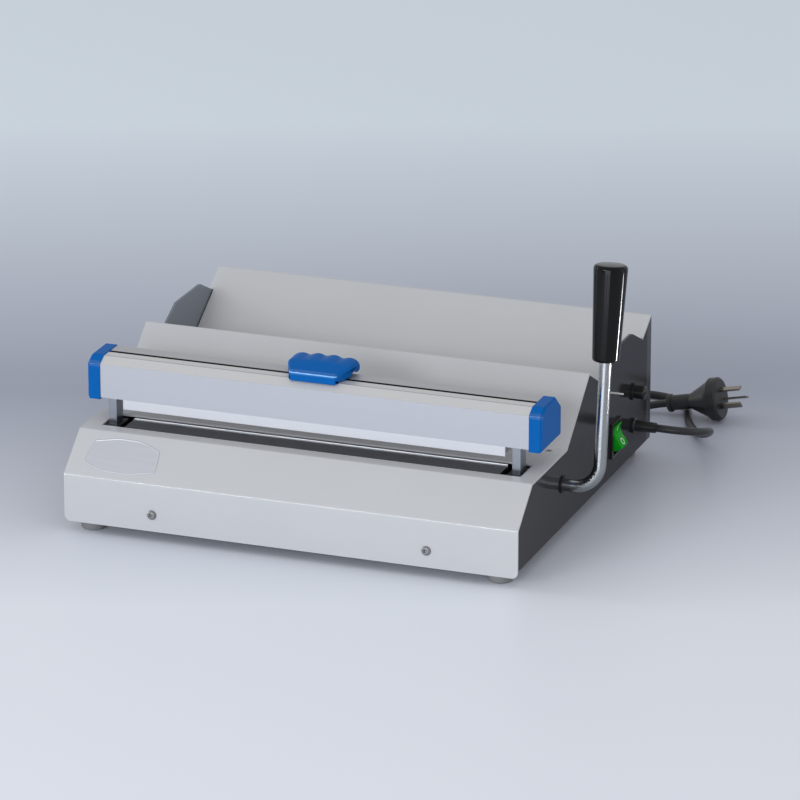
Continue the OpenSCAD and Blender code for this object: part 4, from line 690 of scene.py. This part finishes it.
class SEALER_OT_bar(bpy.types.Operator):
    """Finish the press bar, its caps and the upper jaw."""
    bl_idname = "sealer.bar"
    bl_label = "Press bar"

    def execute(self, context):
        colours = context.scene.sealer_colours
        satin = anodised_bar("satin_aluminium", tuple(colours.bar))
        dressed("press_bar", satin, 0.0004)
        dressed("jaw_holder", satin, 0.0003)
        blue = moulded_plastic("blue_plastic", tuple(colours.trim), 0.16)
        blue.shader.inputs["IOR"].default_value = 1.1
        spot = blue.place()
        y, z = spot.part(1) - FRONT_Y, spot.part(2)
        bends = front_strip(y, z, *CAP_BEND) + front_strip(y, z, *NOSE_BEND)
        blue.feed("Coat Weight", bends.clip())
        flow = blue.noise(30, 3).blend(shade(colours.trim, 0.94), shade(colours.trim, 1.06))
        # A painted highlight line along the handle's nose
        blue.feed("Base Color", front_strip(y, z, *NOSE_HIGHLIGHT_LINE).blend(flow, NOSE_HIGHLIGHT))
        for node in ("left_end_cap", "right_end_cap"):
            dressed(node, blue, 0.0009, 3, 25)
        self.handle(blue)
        paint(moulded_rubber("red_silicone", (0.35, 0.07, 0.04), 0.55), "silicone_strip")
        steel = brushed_metal("post_steel", (0.32, 0.34, 0.38), 0.3, along=(0, 0, 1))
        for node in ("left_post", "right_post"):
            dressed(node, steel, 0.0003)
        paint(steel, "cutter_blade")
        paint(moulded_plastic("white_nylon", (0.75, 0.75, 0.73), 0.45), "cutter_shoe")
        return {"FINISHED"}

    @staticmethod
    def handle(finish):
        """The cutter's handle, with four finger humps that fade towards its front."""
        low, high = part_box("cutter_handle")
        middle, front, bottom = (low[0] + high[0]) / 2, low[1], low[2]
        wide = (high[0] - low[0]) / 2
        profile = rounded(HANDLE, 8)
        rings = []
        for k in range(HANDLE_STEPS + 1):
            share = -math.cos(math.pi * k / HANDLE_STEPS)
            u = share * (1.25 - 0.25 * share * share)
            end = held((abs(u) - (1 - END_SHARE)) / END_SHARE)
            ring = inset_ring(profile, END_INSET * (1 - math.sqrt(1 - end * end)))
            hollow = (0.5 + 0.5 * math.cos(4 * math.pi * u)) ** HOLLOW_SHARP
            spots = []
            for y, z in ring:
                fade = held((y - HOLLOW_FROM) / HOLLOW_OVER) ** HOLLOW_FADE
                lift = held((z - ARCH_FROM) / ARCH_OVER)
                back = held(y / WIDE_AT)
                half = wide * (FRONT_SHARE + (1 - FRONT_SHARE) * math.sin(back * math.pi / 2))
                arch = (ARCH_ENDS + ARCH_MORE * (1 - u * u)) * back * lift
                spots.append((middle + u * half, front + (y - HOLLOW_IN * hollow * fade) * MM,
                              bottom + (z + arch - HOLLOW_DOWN * hollow * fade * lift) * MM))
            rings.append(spots)
        obj = lofted("handle", rings)
        keep(round_edges(obj, 0, angle=40), "cutter", finish, "cutter_handle")


# The rail behind the lower jaw: half its length, its front and back, its foot and top, its rounding
RAIL_HALF, RAIL_FRONT, RAIL_BACK, RAIL_FOOT, RAIL_TOP, RAIL_ROUND = 157.5, 68.8, 69.7, 70, 75, 0.35


class SEALER_OT_jaws(bpy.types.Operator):
    """Finish the lower jaw and its cloth."""
    bl_idname = "sealer.jaws"
    bl_label = "Lower jaw"

    def execute(self, context):
        paint(brushed_metal("jaw_metal", (0.11, 0.125, 0.155), 0.4), "lower_jaw")
        paint(brushed_metal("ribbon", (0.5, 0.47, 0.43), 0.3), "heating_element")
        paint(coated_cloth("cloth", (0.055, 0.062, 0.075)), "nonstick_tape", "insulation_strip")
        outline = rounded([(RAIL_FRONT, RAIL_FOOT, 0), (RAIL_FRONT, RAIL_TOP, RAIL_ROUND),
                           (RAIL_BACK, RAIL_TOP, RAIL_ROUND), (RAIL_BACK, RAIL_FOOT, 0)], 3)
        rings = [[at(x, y, z) for y, z in outline] for x in (-RAIL_HALF, RAIL_HALF)]
        rail = round_edges(lofted("bag_rail", rings), 0)
        keep(rail, "base", brushed_metal("rail_steel", (0.62, 0.63, 0.64), 0.35))
        return {"FINISHED"}


# The pin on the right side plate: its place, its points across and out, and its sides
PIN_Y, PIN_Z, PIN_SIDES = 220, 89.1, 24
PIN = ((188.6, 0.7), (190.05, 0.7), (190.05, 1.5), (190.9, 1.5), (190.9, 0.75), (202.6, 0.75), (203.1, 0.3))


class SEALER_OT_lever(bpy.types.Operator):
    """Finish the lever rod, its grip and its bushes."""
    bl_idname = "sealer.lever"
    bl_label = "Lever"

    def execute(self, context):
        dressed("lever_rod", ringed_steel("polished_steel", (0.36, 0.37, 0.38), 0.14), 0.0003)
        gloss = moulded_plastic("grip_gloss", (0.003, 0.003, 0.003), 0.1, grain=300, depth=0.000005)
        gloss.shader.inputs["IOR"].default_value = 1.3
        dressed("lever_grip", gloss, 0)
        nylon = moulded_plastic("black_nylon", (0.004, 0.004, 0.004), 0.55)
        paint(nylon, "post_guides", "shaft_bushes", "limit_switch")
        angles = [2 * math.pi * k / PIN_SIDES for k in range(PIN_SIDES)]
        rings = [[at(x, PIN_Y + radius * math.cos(a), PIN_Z + radius * math.sin(a)) for a in angles]
                 for x, radius in PIN]
        pin = round_edges(lofted("lever_stop", rings), 0)
        keep(pin, "base", moulded_plastic("white_sleeve", (0.8, 0.78, 0.75), 0.35))
        return {"FINISHED"}


# The rocker's pivot and lean, its side view from the pivot, and its ends, across and inwards
ROCKER_PIVOT, ROCKER_LEAN = (185, 238.5, 44.5), 10
ROCKER = [(10.8, 10, 0.8), (8.6, 6.5, 4), (8.1, 4.15, 6), (9.6, -0.7, 12), (11.6, -4.6, 12),
          (13, -8.4, 0.9), (5.5, -10.6, 2), (-2, -5.8, 0), (-2, 5.8, 0), (4.5, 9.6, 2)]
ROCKER_ENDS = ((-8.2, 0.7), (-7.95, 0.2), (-7.4, 0), (7.4, 0), (7.95, 0.2), (8.2, 0.7))
# The marks, in metres: the circle's height, squash, radius, half line and depth, then the stroke's
# height, half length, half line and depth
CIRCLE_UP, CIRCLE_SQUASH, CIRCLE_RADIUS, CIRCLE_LINE, CIRCLE_OUT = -0.0042, 0.915, 0.0024, 0.0004, 0.0085
STROKE_UP, STROKE_HALF, STROKE_LINE, STROKE_OUT = 0.0067, 0.0018, 0.0006, 0.007
MARK_SKIN = (0.8, 0.85, 0.8)


class SEALER_OT_fittings(bpy.types.Operator):
    """Finish the switch, the fuse holder, the gland and the plug."""
    bl_idname = "sealer.fittings"
    bl_label = "Side fittings and plug"

    def execute(self, context):
        black = moulded_plastic("black_gloss", (0.012, 0.012, 0.012), 0.3)
        for node in ("switch_frame", "fuse_holder", "fuse_cap", "cord_gland"):
            dressed(node, black, 0.0004)
        self.rocker(tuple(context.scene.sealer_colours.rocker))
        paint(moulded_plastic("plug_plastic", (0.016, 0.016, 0.016), 0.42), "plug_body")
        paint(polished_steel("plated_brass", (0.3, 0.27, 0.22), 0.25), "plug_pins")
        return {"FINISHED"}

    @staticmethod
    def rocker(colour):
        """The rocker, hollowed between its tips, with its I and O marks."""
        green = moulded_plastic("green_plastic", colour, 0.2)
        green.shader.inputs["IOR"].default_value = 1.15
        lean, pivot = math.radians(ROCKER_LEAN), at(*ROCKER_PIVOT)
        spot = green.place()
        x, y, z = spot.part(0) - pivot.x, spot.part(1) - pivot.y, spot.part(2) - pivot.z
        out = x * math.cos(lean) + z * math.sin(lean)
        up = z * math.cos(lean) - x * math.sin(lean)
        rise = (up - CIRCLE_UP) / CIRCLE_SQUASH
        circle = (abs((y * y + rise * rise).root() - CIRCLE_RADIUS) < CIRCLE_LINE) * (out > CIRCLE_OUT)
        stroke = (abs(y) < STROKE_LINE) * (abs(up - STROKE_UP) < STROKE_HALF) * (out > STROKE_OUT)
        body = green.noise(30, 3).blend(shade(colour, 0.92), shade(colour, 1.08))
        green.feed("Base Color", (circle + stroke).clip().blend(body, MARK_SKIN))
        profile = rounded(ROCKER, 6)
        rings = []
        for side, depth in ROCKER_ENDS:
            rings.append([pivot + Vector((a * math.cos(lean) - b * math.sin(lean), side,
                                          a * math.sin(lean) + b * math.cos(lean))) * MM
                          for a, b in inset_ring(profile, depth)])
        keep(round_edges(lofted("rocker", rings), 0), "rocker", green, "switch_rocker")


class SEALER_OT_inside(bpy.types.Operator):
    """Finish the parts inside the housing."""
    bl_idname = "sealer.inside"
    bl_label = "Inside parts"

    def execute(self, context):
        paint(stacked_sheets("laminations", (0.2, 0.21, 0.22)), "transformer_core")
        paint(wound_wire("winding", (0.6, 0.28, 0.12)), "transformer_coil")
        paint(moulded_plastic("ivory_plastic", (0.7, 0.66, 0.55), 0.4), "terminal_block")
        return {"FINISHED"}


class SEALER_PT_panel(bpy.types.Panel):
    """The machine's pieces, sizes and colours."""
    bl_label = "Sealing machine"
    bl_idname = "SEALER_PT_panel"
    bl_space_type = "VIEW_3D"
    bl_region_type = "UI"
    bl_category = "Sealer"

    def draw(self, context):
        for group in (context.scene.sealer_sizes, context.scene.sealer_colours):
            for name in group.__annotations__:
                self.layout.prop(group, name)
        for piece in PIECES:
            self.layout.operator(piece.bl_idname)


PIECES = (SEALER_OT_camera, SEALER_OT_cord, SEALER_OT_stage, SEALER_OT_covers, SEALER_OT_fastenings,
          SEALER_OT_bar, SEALER_OT_jaws, SEALER_OT_lever, SEALER_OT_fittings, SEALER_OT_inside)
CLASSES = (SEALER_colours, SEALER_sizes, *PIECES, SEALER_PT_panel)


def register():
    """Adds the classes and the two groups of settings."""
    for item in CLASSES:
        bpy.utils.register_class(item)
    bpy.types.Scene.sealer_colours = bpy.props.PointerProperty(type=SEALER_colours)
    bpy.types.Scene.sealer_sizes = bpy.props.PointerProperty(type=SEALER_sizes)


def unregister():
    """Takes them away again."""
    del bpy.types.Scene.sealer_sizes
    del bpy.types.Scene.sealer_colours
    for item in reversed(CLASSES):
        bpy.utils.unregister_class(item)


def main():
    """Makes every piece in order."""
    register()
    for piece in PIECES:
        group, name = piece.bl_idname.split(".")
        getattr(getattr(bpy.ops, group), name)()


if __name__ == "__main__":
    main()
